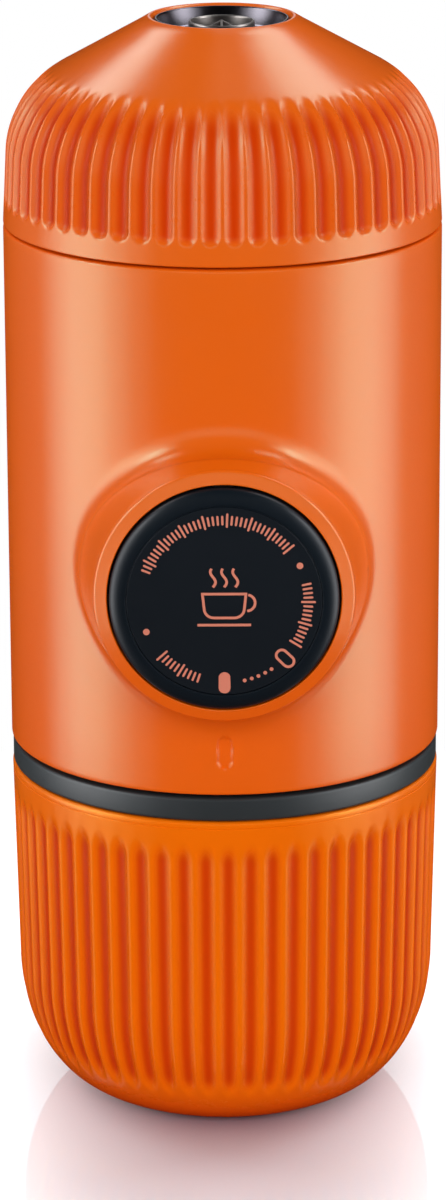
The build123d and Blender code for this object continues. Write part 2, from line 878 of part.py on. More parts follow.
# ---------------------------------------------------------------- knob with its face, guide and lock ring
with BuildPart() as knob_shell:
    with BuildSketch(pump_plane(knob_rear)):
        Circle(knob_r)
    extrude(amount=knob_front - knob_rear)
    fillet(knob_shell.edges().filter_by(GeomType.CIRCLE).sort_by(Axis.Y)[0], knob_round)
    with BuildSketch(pump_plane(knob_rear)):
        Circle(knob_r - knob_wall)
    extrude(amount=knob_inner - knob_rear, mode=Mode.SUBTRACT)
    with BuildSketch(pump_plane(knob_inner - hub_length)):
        Circle(hub_r)
        Circle(plunger_r + face_gap, mode=Mode.SUBTRACT)
    extrude(amount=hub_length)
    with BuildSketch(pump_plane(knob_inner)):
        Circle(plunger_screw_r + screw_fit)
    extrude(amount=knob_plate, mode=Mode.SUBTRACT)
    with BuildSketch(pump_plane(knob_front)):
        Circle(face_r + face_fit)
    extrude(amount=-face_depth, mode=Mode.SUBTRACT)
    with BuildSketch(pump_plane(knob_front - face_depth)):
        Circle(plunger_screw_head_r + screw_fit)
    extrude(amount=-(plunger_screw_head + face_gap), mode=Mode.SUBTRACT)
    with BuildSketch(pump_plane(knob_rear)):
        with PolarLocations(knob_r, lock_keys, start_angle=90):
            Rectangle(2 * key_depth, key_width)
    extrude(amount=boss_front - boss_lip + knob_gap - knob_rear, mode=Mode.SUBTRACT)
knob_shell.part.label = "knob_shell"
export_step(knob_shell.part, "parts/knob_shell.step")

with BuildPart() as knob_face:
    with BuildSketch(pump_plane(knob_front - face_depth + face_gap)):
        Circle(face_r)
    extrude(amount=face_depth - face_fit - face_gap)
knob_face.part.label = "knob_face"
export_step(knob_face.part, "parts/knob_face.step")

with BuildPart(pump_plane(knob_front - face_depth - face_gap)) as plunger_screw:
    add(cap_screw(plunger_screw_head_r, plunger_screw_head, plunger_screw_r, plunger_screw_length))
plunger_screw.part.label = "plunger_screw"
export_step(plunger_screw.part, "parts/plunger_screw.step")

lock_front = boss_front - boss_lip - face_gap

with BuildPart() as lock_ring:
    with BuildSketch(pump_plane(lock_front)):
        Circle(guide_r)
        Circle(knob_r + knob_fit, mode=Mode.SUBTRACT)
        with PolarLocations(knob_r + knob_fit, lock_keys, start_angle=90):
            Rectangle(2 * (key_depth + knob_fit - key_fit), key_width - 2 * key_fit)
    extrude(amount=-lock_ring_length)
lock_ring.part.label = "lock_ring"
export_step(lock_ring.part, "parts/lock_ring.step")

guide_front = lock_front - lock_ring_length - face_gap

with BuildPart() as knob_guide:
    with BuildSketch(pump_plane(guide_front)):
        Circle(guide_r + guide_fit - face_gap)
        Circle(knob_r + knob_fit, mode=Mode.SUBTRACT)
    extrude(amount=-(guide_front - guide_rear))
knob_guide.part.label = "knob_guide"
export_step(knob_guide.part, "parts/knob_guide.step")

# ---------------------------------------------------------------- brewing chamber
head_thread_low = head_low + head_thread_rise
shoulder_top = body_top - shell_lip - face_gap

with BuildPart() as brew_head:
    with BuildSketch(Plane.XZ):
        with BuildLine():
            Polyline(
                (0, brew_low),
                (chassis_r, brew_low),
                (chassis_r, brew_low + deck),
                (neck_r, brew_low + deck),
                (neck_r, shoulder_top - shoulder_height),
                (chassis_r, shoulder_top - shoulder_height),
                (chassis_r, shoulder_top),
                (neck_r, shoulder_top),
                (neck_r, neck_top),
                (chamber_r, neck_top),
                (chamber_r, chamber_floor + ledge),
                (chamber_r - ledge_width, chamber_floor + ledge),
                (chamber_r - ledge_width, chamber_floor),
                (0, chamber_floor),
                close=True,
            )
        make_face()
    revolve(axis=Axis.Z)
    with Locations(Plane.XY.offset(chamber_floor)):
        with PolarLocations(brew_screw_circle_r, post_count, start_angle=brew_screw_turn):
            CounterBoreHole(
                screw_r + screw_fit, screw_head_r + screw_fit, screw_head + face_gap, chamber_floor - brew_low
            )
        with Locations((0, valve_y)):
            Hole(passage_r, chamber_floor - brew_low)
        Hole(screw_r + screw_fit, screen_screw_length)
    add(thread_ridge(neck_r, head_thread_low, head_thread_lead, head_thread_turns, 1))
brew_head.part.label = "brew_head"
export_step(brew_head.part, "parts/brew_head.step")

with BuildPart(Plane.XY.offset(chamber_floor)) as brew_head_screws:
    with PolarLocations(brew_screw_circle_r, post_count, start_angle=brew_screw_turn):
        add(cap_screw(screw_head_r, screw_head, screw_r, screw_length))
brew_head_screws.part.label = "brew_head_screws"
export_step(brew_head_screws.part, "parts/brew_head_screws.step")

with BuildPart() as shower_screen:
    with BuildSketch(Plane.XY.offset(screen_low)):
        Circle(screen_r)
    extrude(amount=screen_thickness)
    with Locations(Plane.XY.offset(screen_top)):
        ring_of_holes(screen_hole_r, screen_rings, screen_ring_step, screen_thickness)
        Hole(screw_r + screw_fit, screen_thickness)
shower_screen.part.label = "shower_screen"
export_step(shower_screen.part, "parts/shower_screen.step")

with BuildPart(Plane.XY.offset(screen_top + screw_head + face_gap)) as screen_screw:
    add(cap_screw(screw_head_r, screw_head, screw_r, screen_screw_length))
screen_screw.part.label = "screen_screw"
export_step(screen_screw.part, "parts/screen_screw.step")

with BuildPart() as basket_gasket:
    with BuildSketch(Plane.XY.offset(screen_top + face_gap)):
        Circle(basket_flange_r)
        Circle(basket_flange_r - gasket_width, mode=Mode.SUBTRACT)
    extrude(amount=gasket_height)
basket_gasket.part.label = "basket_gasket"
export_step(basket_gasket.part, "parts/basket_gasket.step")

with BuildPart() as filter_basket:
    with BuildSketch(Plane.XY.offset(basket_low)):
        Circle(basket_r)
    extrude(amount=basket_height)
    fillet(filter_basket.edges().group_by(Axis.Z)[-1], basket_corner)
    offset(amount=-basket_wall, openings=filter_basket.faces().sort_by(Axis.Z)[0])
    with BuildSketch(Plane.XY.offset(basket_low)):
        Circle(basket_flange_r)
        Circle(basket_r - basket_wall, mode=Mode.SUBTRACT)
    extrude(amount=basket_flange)
    with Locations(Plane.XY.offset(basket_top)):
        ring_of_holes(basket_hole_r, basket_rings, basket_ring_step, basket_wall)
filter_basket.part.label = "filter_basket"
export_step(filter_basket.part, "parts/filter_basket.step")

scoop_r = basket_r - basket_wall - scoop_fit
scoop_low = screen_top + face_gap
scoop_top = basket_top - basket_wall - scoop_fit

with BuildPart() as scoop:
    with BuildSketch(Plane.XY.offset(scoop_low)):
        Circle(scoop_r)
    extrude(amount=scoop_top - scoop_low)
    fillet(scoop.edges().group_by(Axis.Z)[-1], basket_corner)
    offset(amount=-scoop_wall, openings=scoop.faces().sort_by(Axis.Z)[0])
scoop.part.label = "scoop"
export_step(scoop.part, "parts/scoop.step")

# ---------------------------------------------------------------- outlet head
with BuildPart() as head_gasket:
    with BuildSketch(Plane.XZ):
        with Locations(((neck_r + chamber_r) / 2, neck_top + seal_gap + head_gasket_height / 2)):
            Rectangle(head_gasket_width, head_gasket_height)
    revolve(axis=Axis.Z)
head_gasket.part.label = "head_gasket"
export_step(head_gasket.part, "parts/head_gasket.step")

head_flute_out = head_flute_r - head_flute_depth
fade_angle = radians(head_flute_bend)
fade_start = shoulder_point(-head_flute_out, fade_angle)
fade_end = (
    fade_start[0] - head_flute_fade * sin(fade_angle),
    fade_start[1] + head_flute_fade * cos(fade_angle),
)

with BuildPart() as head_flute:
    with BuildLine(Plane.XZ) as head_flute_path:
        Line(dome_foot(-head_flute_out, head_flute_low), shoulder_point(-head_flute_out, taper))
        ThreePointArc(
            shoulder_point(-head_flute_out, taper),
            shoulder_point(-head_flute_out, (taper + fade_angle) / 2),
            fade_start,
        )
        Line(fade_start, fade_end)
    with BuildSketch(Plane(origin=head_flute_path.line @ 0, z_dir=head_flute_path.line % 0)):
        Circle(head_flute_r)
    sweep(path=head_flute_path.line)
    with Locations(head_flute_path.line @ 0):
        Sphere(head_flute_r)

lip_corner = total_height - lip_round
lip_middle = lip_round * (1 - cos(radians(45)))

with BuildPart() as head_shell:
    with BuildSketch(Plane.XZ):
        with BuildLine():
            dome_line(0, head_low, lip_r)
            ThreePointArc(
                (lip_r, total_height),
                (opening_r + lip_middle, total_height - lip_middle),
                (opening_r, lip_corner),
            )
            Line((opening_r, lip_corner), dome_apex(shell_wall, opening_r))
            dome_line(shell_wall, head_low, opening_r)
            Line(dome_foot(shell_wall, head_low), dome_foot(0, head_low))
        make_face()
    revolve(axis=Axis.Z)
    with PolarLocations(0, flute_count, start_angle=head_flute_turn):
        add(head_flute.part, mode=Mode.SUBTRACT)
head_shell.part.label = "head_shell"
export_step(head_shell.part, "parts/head_shell.step")

lining = shell_wall + lining_gap
lining_low = head_low + lining_foot
spout_bore_r = spout_r - spout_wall
cap_thread_low = head_thread_low + head_thread_lead / 2

with BuildPart() as portafilter:
    with BuildSketch(Plane.XZ):
        with BuildLine():
            dome_line(lining, lining_low, opening_r)
            Polyline(
                dome_apex(lining, opening_r),
                (opening_r, bezel_low - face_gap),
                (spout_r + face_gap, bezel_low - face_gap),
                (spout_r + face_gap, spout_low - face_gap),
                (spout_bore_r, spout_low - face_gap),
                (spout_bore_r, spout_low - funnel_lead),
                (spigot_r - spigot_wall, support_low + support_thickness + funnel_skirt),
                (spigot_r - spigot_wall, support_low + support_thickness + face_gap),
                (spigot_r, support_low + support_thickness + face_gap),
                (spigot_r, ceiling_z),
                (head_bore_r, ceiling_z),
                (head_bore_r, lining_low),
                dome_foot(lining, lining_low),
            )
        make_face()
    revolve(axis=Axis.Z)
    add(thread_ridge(head_bore_r, cap_thread_low, head_thread_lead, head_thread_turns, -1))
portafilter.part.label = "portafilter"
export_step(portafilter.part, "parts/portafilter.step")

with BuildPart() as support_plate:
    with BuildSketch(Plane.XY.offset(support_low)):
        Circle(spigot_r)
    extrude(amount=support_thickness)
    with Locations(Plane.XY.offset(support_low + support_thickness)):
        ring_of_holes(support_hole_r, support_rings, support_ring_step, support_thickness)
        Hole(support_hole_r, support_thickness)
support_plate.part.label = "support_plate"
export_step(support_plate.part, "parts/support_plate.step")

with BuildPart() as nozzle_bezel:
    with BuildSketch(Plane.XZ):
        with BuildLine():
            Polyline(
                (spout_r + face_gap, bezel_low),
                (opening_r - bezel_fit, bezel_low),
                (opening_r - bezel_fit, bezel_top),
                (opening_r - bezel_fit - bezel_wall, bezel_top),
                (opening_r - bezel_fit - 2 * bezel_wall, bezel_low + bezel_floor),
                (spout_r + face_gap, bezel_low + bezel_floor),
                close=True,
            )
        make_face()
    revolve(axis=Axis.Z)
    fillet(nozzle_bezel.edges().group_by(Axis.Z)[-1], bezel_round)
nozzle_bezel.part.label = "nozzle_bezel"
export_step(nozzle_bezel.part, "parts/nozzle_bezel.step")

fin_reach = spout_r - spout_wall / 2
fin_rise = spout_top - fin_drop

with BuildPart() as fin:
    with BuildSketch(Plane.XZ.offset(-fin_width / 2)):
        with BuildLine():
            Polyline(
                (0, fin_rise - fin_height),
                (fin_reach, fin_rise - fin_height),
                (fin_reach, fin_rise - fin_height / 2),
                (0, fin_rise),
                close=True,
            )
        make_face()
    extrude(amount=fin_width)

with BuildPart() as nozzle_spout:
    with BuildSketch(Plane.XY.offset(spout_low)):
        Circle(spout_r)
        Circle(spout_bore_r, mode=Mode.SUBTRACT)
    extrude(amount=spout_length)
    with PolarLocations(0, spout_fins, start_angle=spout_turn):
        add(fin.part)
nozzle_spout.part.label = "nozzle_spout"
export_step(nozzle_spout.part, "parts/nozzle_spout.step")
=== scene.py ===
import math
import bmesh
import bpy
from mathutils import Matrix, Vector


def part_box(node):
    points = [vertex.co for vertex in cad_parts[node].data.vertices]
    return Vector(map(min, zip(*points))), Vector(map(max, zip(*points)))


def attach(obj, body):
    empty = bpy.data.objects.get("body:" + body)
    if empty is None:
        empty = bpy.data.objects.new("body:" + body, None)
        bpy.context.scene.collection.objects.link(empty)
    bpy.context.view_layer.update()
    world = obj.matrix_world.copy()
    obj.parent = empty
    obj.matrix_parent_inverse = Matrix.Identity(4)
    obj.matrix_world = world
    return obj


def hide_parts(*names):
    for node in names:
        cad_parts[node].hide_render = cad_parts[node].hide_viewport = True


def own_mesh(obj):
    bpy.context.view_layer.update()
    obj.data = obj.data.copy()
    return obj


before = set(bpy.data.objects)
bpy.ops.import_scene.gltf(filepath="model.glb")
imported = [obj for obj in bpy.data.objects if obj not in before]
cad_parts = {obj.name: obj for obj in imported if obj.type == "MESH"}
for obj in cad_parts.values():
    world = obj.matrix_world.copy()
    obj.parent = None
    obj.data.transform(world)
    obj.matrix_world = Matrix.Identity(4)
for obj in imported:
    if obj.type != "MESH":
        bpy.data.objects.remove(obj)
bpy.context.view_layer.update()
mm = 0.001
print("frame loaded:", len(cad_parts), "nodes")


# ---- shader helpers: a wire is one output socket, and sums or products of wires add Math nodes
class Wire:
    def __init__(self, finish, socket):
        self.finish = finish
        self.socket = socket

    def math(self, operation, *values):
        return self.finish.add("Math", {"operation": operation}, dict(enumerate(values)))

    def __add__(self, other):
        return self.math("ADD", self, other)

    def __radd__(self, other):
        return self.math("ADD", other, self)

    def __sub__(self, other):
        return self.math("SUBTRACT", self, other)

    def __rsub__(self, other):
        return self.math("SUBTRACT", other, self)

    def __mul__(self, other):
        return self.math("MULTIPLY", self, other)

    def __rmul__(self, other):
        return self.math("MULTIPLY", other, self)

    def __truediv__(self, other):
        return self.math("DIVIDE", self, other)

    def __rtruediv__(self, other):
        return self.math("DIVIDE", other, self)

    def atMost(self, other):
        return self.math("MINIMUM", self, other)

    def atLeast(self, other):
        return self.math("MAXIMUM", self, other)

    def absolute(self):
        return self.math("ABSOLUTE", self)

    def rise(self, start, end):
        # 0 up to the start, 1 from the end on, and a straight rise between them
        return ((self - start) / (end - start)).atLeast(0.0).atMost(1.0)


# the node tree of a new material, or of a new world
class Finish:
    def __init__(self, name, group="materials"):
        self.owner = getattr(bpy.data, group).new(name)
        self.owner.use_nodes = True
        self.tree = self.owner.node_tree
        self.tree.nodes.clear()

    def add(self, kind, settings=None, inputs=None, output=0):
        node = self.tree.nodes.new("ShaderNode" + kind)
        for key, value in (settings or {}).items():
            setattr(node, key, value)
        for key, value in (inputs or {}).items():
            if isinstance(value, Wire):
                self.tree.links.new(value.socket, node.inputs[key])
            else:
                node.inputs[key].default_value = value
        return Wire(self, node.outputs[output]) if node.outputs else None

    def place(self):
        return self.add("TexCoord", output="Object")

    def noise(self, vector, scale, detail=2.0, roughness=0.5):
        inputs = {"Vector": vector, "Scale": scale, "Detail": detail, "Roughness": roughness}
        return self.add("TexNoise", {}, inputs)

    def blendColours(self, amount, first, second):
        settings = {"data_type": "RGBA"}
        return self.add("Mix", settings, {0: amount, 6: first, 7: second}, output=2)

    def bump(self, height, depth, strength):
        return self.add("Bump", {}, {"Height": height, "Distance": depth, "Strength": strength})

    def surface(self, shader, kind="OutputMaterial"):
        self.add(kind, {}, {"Surface": shader})
        return self.owner


def rgb(*screen):
    # screen values from 0 to 255, turned to the linear ones that shaders use
    shares = [value / 255 for value in screen]
    linear = [share / 12.92 if share <= 0.04045 else ((share + 0.055) / 1.055) ** 2.4 for share in shares]
    return (*linear, 1.0)


plainWhite = (1, 1, 1, 1)
plasticIor = 1.5


# ---- finishes
def mouldedPlastic(name, look):
    # moulded plastic with a spark-eroded grain, slow clouds in its colour and painted shade inside the flutes
    finish = Finish(name)
    place = finish.place()
    clouds = finish.noise(place, look["cloudScale"])
    grain = finish.noise(place, look["grainScale"], detail=3.0, roughness=0.6)
    scuffs = finish.noise(place, look["scuffScale"], detail=4.0, roughness=0.65)
    groove = finish.add("Attribute", {"attribute_name": "groove"}, output="Fac")
    tone = finish.blendColours(clouds, look["shade"], look["colour"])
    # painted shade: a deeper red where the groove value is high, in the flutes and towards the cup's foot
    paintedShade = groove * groove * look["grooveShadeAmount"]
    colour = finish.blendColours(paintedShade, tone, look["grooveShadeColour"])
    roughness = look["roughness"] + (scuffs - 0.5) * look["roughnessSpread"]
    roughness = roughness + groove * look["grooveRoughness"]
    normal = finish.bump(grain, look["grainDepth"], look["grainStrength"])
    inputs = {"Base Color": colour, "Roughness": roughness, "Normal": normal, "IOR": plasticIor}
    shine = {"Specular IOR Level": look["specular"], "Specular Tint": look["sheenTint"]}
    shader = finish.add("BsdfPrincipled", {}, {**inputs, **shine})
    if look["grooveShadeAmount"] > 0:
        # the bottoms of the flutes hardly shine
        dull = finish.add("BsdfPrincipled", {}, {**inputs, "Specular IOR Level": look["grooveSpecular"]})
        shader = finish.add("MixShader", {}, {0: groove, 1: shader, 2: dull})
    return finish.surface(shader)


def metal(name, look):
    # turned or drawn metal: fine lines round the part, with a little colour drift
    finish = Finish(name)
    place = finish.place()
    stretched = finish.add("Mapping", {}, {"Vector": place, "Scale": look["grainStretch"]})
    lines = finish.noise(stretched, look["grainScale"], detail=4.0, roughness=0.7)
    drift = finish.noise(place, look["driftScale"])
    colour = finish.blendColours(drift, look["shade"], look["colour"])
    roughness = look["roughness"] + (lines - 0.5) * look["roughnessSpread"]
    normal = finish.bump(lines, look["grainDepth"], look["grainStrength"])
    shader = finish.add("BsdfPrincipled", {}, {
        "Base Color": colour, "Roughness": roughness, "Metallic": 1.0, "Normal": normal,
    })
    return finish.surface(shader)


def smokyPlastic(name, look):
    # clear tinted plastic of the water tank, with faint flow clouds and a lightly polished surface
    finish = Finish(name)
    place = finish.place()
    clouds = finish.noise(place, look["cloudScale"])
    wipe = finish.noise(place, look["wipeScale"], detail=4.0, roughness=0.6)
    colour = finish.blendColours(clouds, look["shade"], look["colour"])
    roughness = look["roughness"] + wipe * look["roughnessSpread"]
    normal = finish.bump(wipe, look["wipeDepth"], look["wipeStrength"])
    shader = finish.add("BsdfPrincipled", {}, {
        "Base Color": colour, "Roughness": roughness, "Normal": normal, "IOR": plasticIor,
        "Transmission Weight": look["transmission"],
    })
    return finish.surface(shader)


plainGrain = {
    "cloudScale": 35.0, "scuffScale": 420.0, "roughnessSpread": 0.08,
    "grainScale": 3000.0, "grainDepth": 0.02 * mm, "grainStrength": 0.35,
    "grooveShadeAmount": 0.0, "grooveShadeColour": rgb(0, 0, 0), "grooveRoughness": 0.0,
    "specular": 0.5, "sheenTint": plainWhite,
}
finishes = {
    "body_plastic": mouldedPlastic("bodyOrange", {
        **plainGrain, "shade": rgb(233, 96, 4), "colour": rgb(239, 103, 7),
        "grainScale": 2000.0, "grainStrength": 0.5,
        # painted shade in the flutes' valleys
        "grooveShadeAmount": 1.0, "grooveShadeColour": rgb(208, 60, 2), "grooveRoughness": 0.1, "grooveSpecular": 0.02,
        "roughness": 0.24, "specular": 0.46,
        "sheenTint": (0.05, 1.0, 0.7, 1),  # with little red, so that the sheen doesn't turn pink
    }),
    "cup_plastic": mouldedPlastic("cupOrange", {
        **plainGrain, "shade": rgb(240, 108, 2), "colour": rgb(246, 117, 4), "grainStrength": 0.1,
        # painted shade in the flutes' valleys
        "grooveShadeAmount": 1.0, "grooveShadeColour": rgb(208, 64, 1), "grooveRoughness": 0.1, "grooveSpecular": 0.06,
        "roughness": 0.22, "specular": 0.5, "sheenTint": (0.8, 0.8, 0.15, 1),
    }),
    "slate_plastic": mouldedPlastic("slateRing", {
        **plainGrain, "shade": rgb(35, 42, 45), "colour": rgb(44, 51, 54),
        "roughness": 0.4, "specular": 0.32,
    }),
    "knob_plastic": mouldedPlastic("knobBlueBlack", {
        **plainGrain, "shade": rgb(7, 16, 23), "colour": rgb(10, 21, 30),
        "roughness": 0.36, "grainStrength": 0.15, "specular": 0.2,
    }),
    "face_plastic": mouldedPlastic("knobFace", {
        **plainGrain, "shade": rgb(8, 15, 22), "colour": rgb(12, 21, 29),
        "roughness": 0.42, "grainStrength": 0.2, "specular": 0.2,
    }),
    "black_plastic": mouldedPlastic("chassisBlack", {
        **plainGrain, "shade": rgb(20, 20, 21), "colour": rgb(30, 30, 32), "roughness": 0.5,
    }),
    "silicone": mouldedPlastic("sealRubber", {
        **plainGrain, "shade": rgb(38, 38, 40), "colour": rgb(52, 52, 54),
        "roughness": 0.62, "grainStrength": 0.5,
    }),
    "smoke_plastic": smokyPlastic("tankSmoke", {
        "cloudScale": 40.0, "wipeScale": 260.0, "wipeDepth": 0.01 * mm, "wipeStrength": 0.3,
        "shade": rgb(96, 92, 90), "colour": rgb(122, 118, 115), "transmission": 0.85,
        "roughness": 0.06, "roughnessSpread": 0.08,
    }),
    "steel": metal("brushedSteel", {
        "grainStretch": (1.0, 1.0, 12.0), "grainScale": 900.0, "grainDepth": 0.004 * mm, "grainStrength": 0.3,
        "driftScale": 60.0, "shade": rgb(176, 177, 180), "colour": rgb(198, 199, 201),
        "roughness": 0.26, "roughnessSpread": 0.16,
    }),
    "spring_steel": metal("springWire", {
        "grainStretch": (1.0, 1.0, 1.0), "grainScale": 2200.0, "grainDepth": 0.004 * mm, "grainStrength": 0.3,
        "driftScale": 120.0, "shade": rgb(150, 151, 154), "colour": rgb(182, 183, 186),
        "roughness": 0.3, "roughnessSpread": 0.2,
    }),
    "dark_chrome": metal("darkChrome", {
        "grainStretch": (1.0, 1.0, 20.0), "grainScale": 700.0, "grainDepth": 0.002 * mm, "grainStrength": 0.2,
        "driftScale": 90.0, "shade": rgb(62, 60, 66), "colour": rgb(92, 90, 96),
        "roughness": 0.24, "roughnessSpread": 0.08,
    }),
    "satin_chrome": metal("satinChrome", {
        "grainStretch": (1.0, 1.0, 8.0), "grainScale": 900.0, "grainDepth": 0.002 * mm, "grainStrength": 0.2,
        "driftScale": 90.0, "shade": rgb(112, 108, 106), "colour": rgb(136, 132, 128),
        "roughness": 0.34, "roughnessSpread": 0.08,
    }),
    "print": mouldedPlastic("copperPrint", {
        **plainGrain, "shade": rgb(206, 118, 96), "colour": rgb(224, 138, 112),
        "roughness": 0.4, "grainStrength": 0.3,
    }),
}
for name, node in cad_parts.items():
    slotName = node.data.materials[0].name.split(".")[0]
    if slotName not in finishes:
        raise SystemExit(f"{name} has the unknown finish {slotName}")
    for index in range(len(node.data.materials)):
        node.data.materials[index] = finishes[slotName]
print("finishes made:", len(finishes))


# ---- modelling helpers
weld = 0.001 * mm  # vertices closer than this are merged
touch = 0.01 * mm  # and closer than this counts as on a given radius, height or point


def steps(first, last, count):
    return [first + (last - first) * number / count for number in range(count + 1)]


def arc(centre, radius, first, last, count, tall=None):
    # points of an arc in the outline's plane, or of an ellipse where its height differs
    high = radius if tall is None else tall
    turns = [math.radians(turn) for turn in steps(first, last, count)]
    return [(centre[0] + radius * math.cos(turn), centre[1] + high * math.sin(turn)) for turn in turns]


def newMesh():
    # row is the number of a vertex's outline point, and groove tells how deep in a flute it lies, for the
    # painted shade and duller shine there
    bm = bmesh.new()
    bm.verts.layers.int.new("row")
    bm.verts.layers.float.new("groove")
    return bm


def turnMesh(bm, verts, turn, axis="Z"):
    # turns vertices by degrees about an axis through the origin
    bmesh.ops.rotate(bm, cent=(0, 0, 0), matrix=Matrix.Rotation(math.radians(turn), 3, axis), verts=verts)


def spinRound(bm, geometry, angle, count, **options):
    # spins geometry about Z, by an angle in radians
    bmesh.ops.spin(
        bm, geom=geometry, cent=(0, 0, 0), axis=(0, 0, 1), dvec=(0, 0, 0), angle=angle, steps=count,
        **options,
    )


def lathe(outline, count, closed=False, share=1):
    # turns an outline of (radius, height) pairs once about Z, or by a share of a turn with its middle at +X;
    # each vertex keeps the number of its outline point
    bm = newMesh()
    row = bm.verts.layers.int["row"]
    points = []
    for number, (radius, height) in enumerate(outline):
        point = bm.verts.new((radius, 0, height))
        point[row] = number
        points.append(point)
    pairs = list(zip(points, points[1:]))
    if closed:
        pairs.append((points[-1], points[0]))
    edges = [bm.edges.new(pair) for pair in pairs]
    if share < 1:
        turnMesh(bm, points, -180 * share)
    spinRound(bm, points + edges, math.tau * share, count, use_merge=share == 1)
    return bm


def extrude(bm, edges):
    # extrudes edges, and gives the new vertices and the edges between them
    grown = bmesh.ops.extrude_edge_only(bm, edges=edges)["geom"]
    fresh = {item for item in grown if isinstance(item, bmesh.types.BMVert)}
    between = [item for item in grown if isinstance(item, bmesh.types.BMEdge) and set(item.verts) <= fresh]
    return fresh, between


def repeatRound(bm, count, turn):
    # copies one sector all the way round, from that turn on
    bmesh.ops.remove_doubles(bm, verts=bm.verts, dist=weld)
    turnMesh(bm, bm.verts, turn)
    whole = list(bm.verts) + list(bm.edges) + list(bm.faces)
    spinRound(bm, whole, math.tau * (count - 1) / count, count - 1, use_duplicate=True)


def addObject(name, data):
    item = bpy.data.objects.new(name, data)
    bpy.context.scene.collection.objects.link(item)
    return item


def addMesh(bm, name, material):
    mesh = bpy.data.meshes.new(name)
    bm.to_mesh(mesh)
    bm.free()
    mesh.materials.append(material)
    return addObject(name, mesh)


def finishPiece(bm, name, body, slotName, replaced=(), finish=None, sharpAngle=34):
    # merges, smooths all but the sharp edges, hangs the piece on its body, gives it its slot's finish or the
    # given one, and hides the CAD nodes it stands in for
    bmesh.ops.remove_doubles(bm, verts=bm.verts, dist=weld)
    bmesh.ops.recalc_face_normals(bm, faces=bm.faces)
    for face in bm.faces:
        face.smooth = True
    for edge in bm.edges:
        edge.smooth = edge.calc_face_angle(math.pi) < math.radians(sharpAngle)
    loose = sum(1 for edge in bm.edges if edge.is_boundary or edge.is_wire)
    piece = addMesh(bm, name, finishes[finish or slotName])
    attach(piece, body)
    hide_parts(*replaced)
    print(name, "faces:", len(piece.data.polygons), "open edges:", loose)
    return piece


def softMax(value, blend):
    # zero below, the value above, and a round corner of that width between them
    if value <= -blend:
        return 0.0
    if value >= blend:
        return value
    return (value + blend) ** 2 / (4 * blend)


def gatherColumns(bm, shares, pitch):
    # moves the even columns of a sector to uneven shares of the pitch, closest where the surface bends most
    half = len(shares) - 1
    for vertex in bm.verts:
        turn = math.atan2(vertex.co.y, vertex.co.x)
        moved = math.copysign(shares[round(2 * half * abs(turn) / pitch)] * pitch, turn)
        radius = math.hypot(vertex.co.x, vertex.co.y)
        vertex.co.x, vertex.co.y = radius * math.cos(moved), radius * math.sin(moved)


def carve(bm, flutes, rows):
    # sinks each vertex of the fluted rows against that row's outward normal, and keeps the depth's share as
    # the groove value; rows gives (normal, runout, lift) by the number of the outline point
    rowOf = bm.verts.layers.int["row"]
    groove = bm.verts.layers.float["groove"]
    pitch = math.tau / flutes["count"]
    for vertex in bm.verts:
        if vertex[rowOf] not in rows:
            continue
        normal, runout, lift = rows[vertex[rowOf]]
        radius = math.hypot(vertex.co.x, vertex.co.y)
        share = math.atan2(vertex.co.y, vertex.co.x) / pitch
        depth = flutes["shape"](flutes, abs(share), radius * abs(share) * pitch, runout, lift)
        # painted shade: lands of the fluted band get the landTone share of the flutes' painted shade and
        # duller shine
        vertex[groove] = flutes["landTone"] * max(0.0, 1 - (runout + lift) / flutes["depth"])
        if depth <= 0:
            continue
        outward = Vector((vertex.co.x / radius * normal[0], vertex.co.y / radius * normal[0], normal[1]))
        vertex.co -= outward * depth
        vertex[groove] = max(vertex[groove], min(1.0, depth / flutes["depth"]))


def scoopedFlute(flutes, share, across, runout, lift):
    # the track of a round cutter: its section is an arc with slightly rounded shoulders
    cutter = flutes["cutter"]
    inside = cutter ** 2 - across ** 2 - runout ** 2
    sunk = math.sqrt(max(0.0, inside)) - (cutter - flutes["depth"]) - lift
    return softMax(sunk, flutes["shoulder"])


def wavyFlute(flutes, share, across, runout, lift):
    # a soft wave between two ridges that dies out in a round end
    reach = math.hypot(2 * share, runout / flutes["endLength"])
    return flutes["depth"] * (0.5 + 0.5 * math.cos(math.pi * min(1.0, reach) ** flutes["crest"]))


# ---- portable cup: base, elliptical corner, drafted wall with a fine line under the rim
cupLow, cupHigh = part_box("portable_cup")
cup = {
    "draft": 0.61 * mm, "cornerWidth": 12.72 * mm, "cornerHeight": 19.4 * mm, "floor": 2.4 * mm,
    "wall": 2.0 * mm, "baseRing": 0.3 * mm, "rimRound": 0.5 * mm,
    "lineDrop": 1.0 * mm, "lineWidth": 0.12 * mm, "lineDepth": 0.06 * mm,
    "lineSection": ((-1.0, 0.0), (-0.4, 1.0), (0.4, 1.0), (1.0, 0.0)),
    "fluteLow": 9.5 * mm, "fluteHigh": 42.3 * mm, "fluteEnd": 2.0 * mm, "footShadeTop": 10.0 * mm,
    "flutes": {
        "count": 60, "turn": 0.8, "depth": 0.6 * mm, "shape": wavyFlute, "endLength": 3.6 * mm, "crest": 1.3,
        "landTone": 0.0,
    },
    "columns": 14, "cornerSteps": 44, "wallSteps": 12, "innerSteps": 16, "rimSteps": 6, "lipSteps": 4,
}


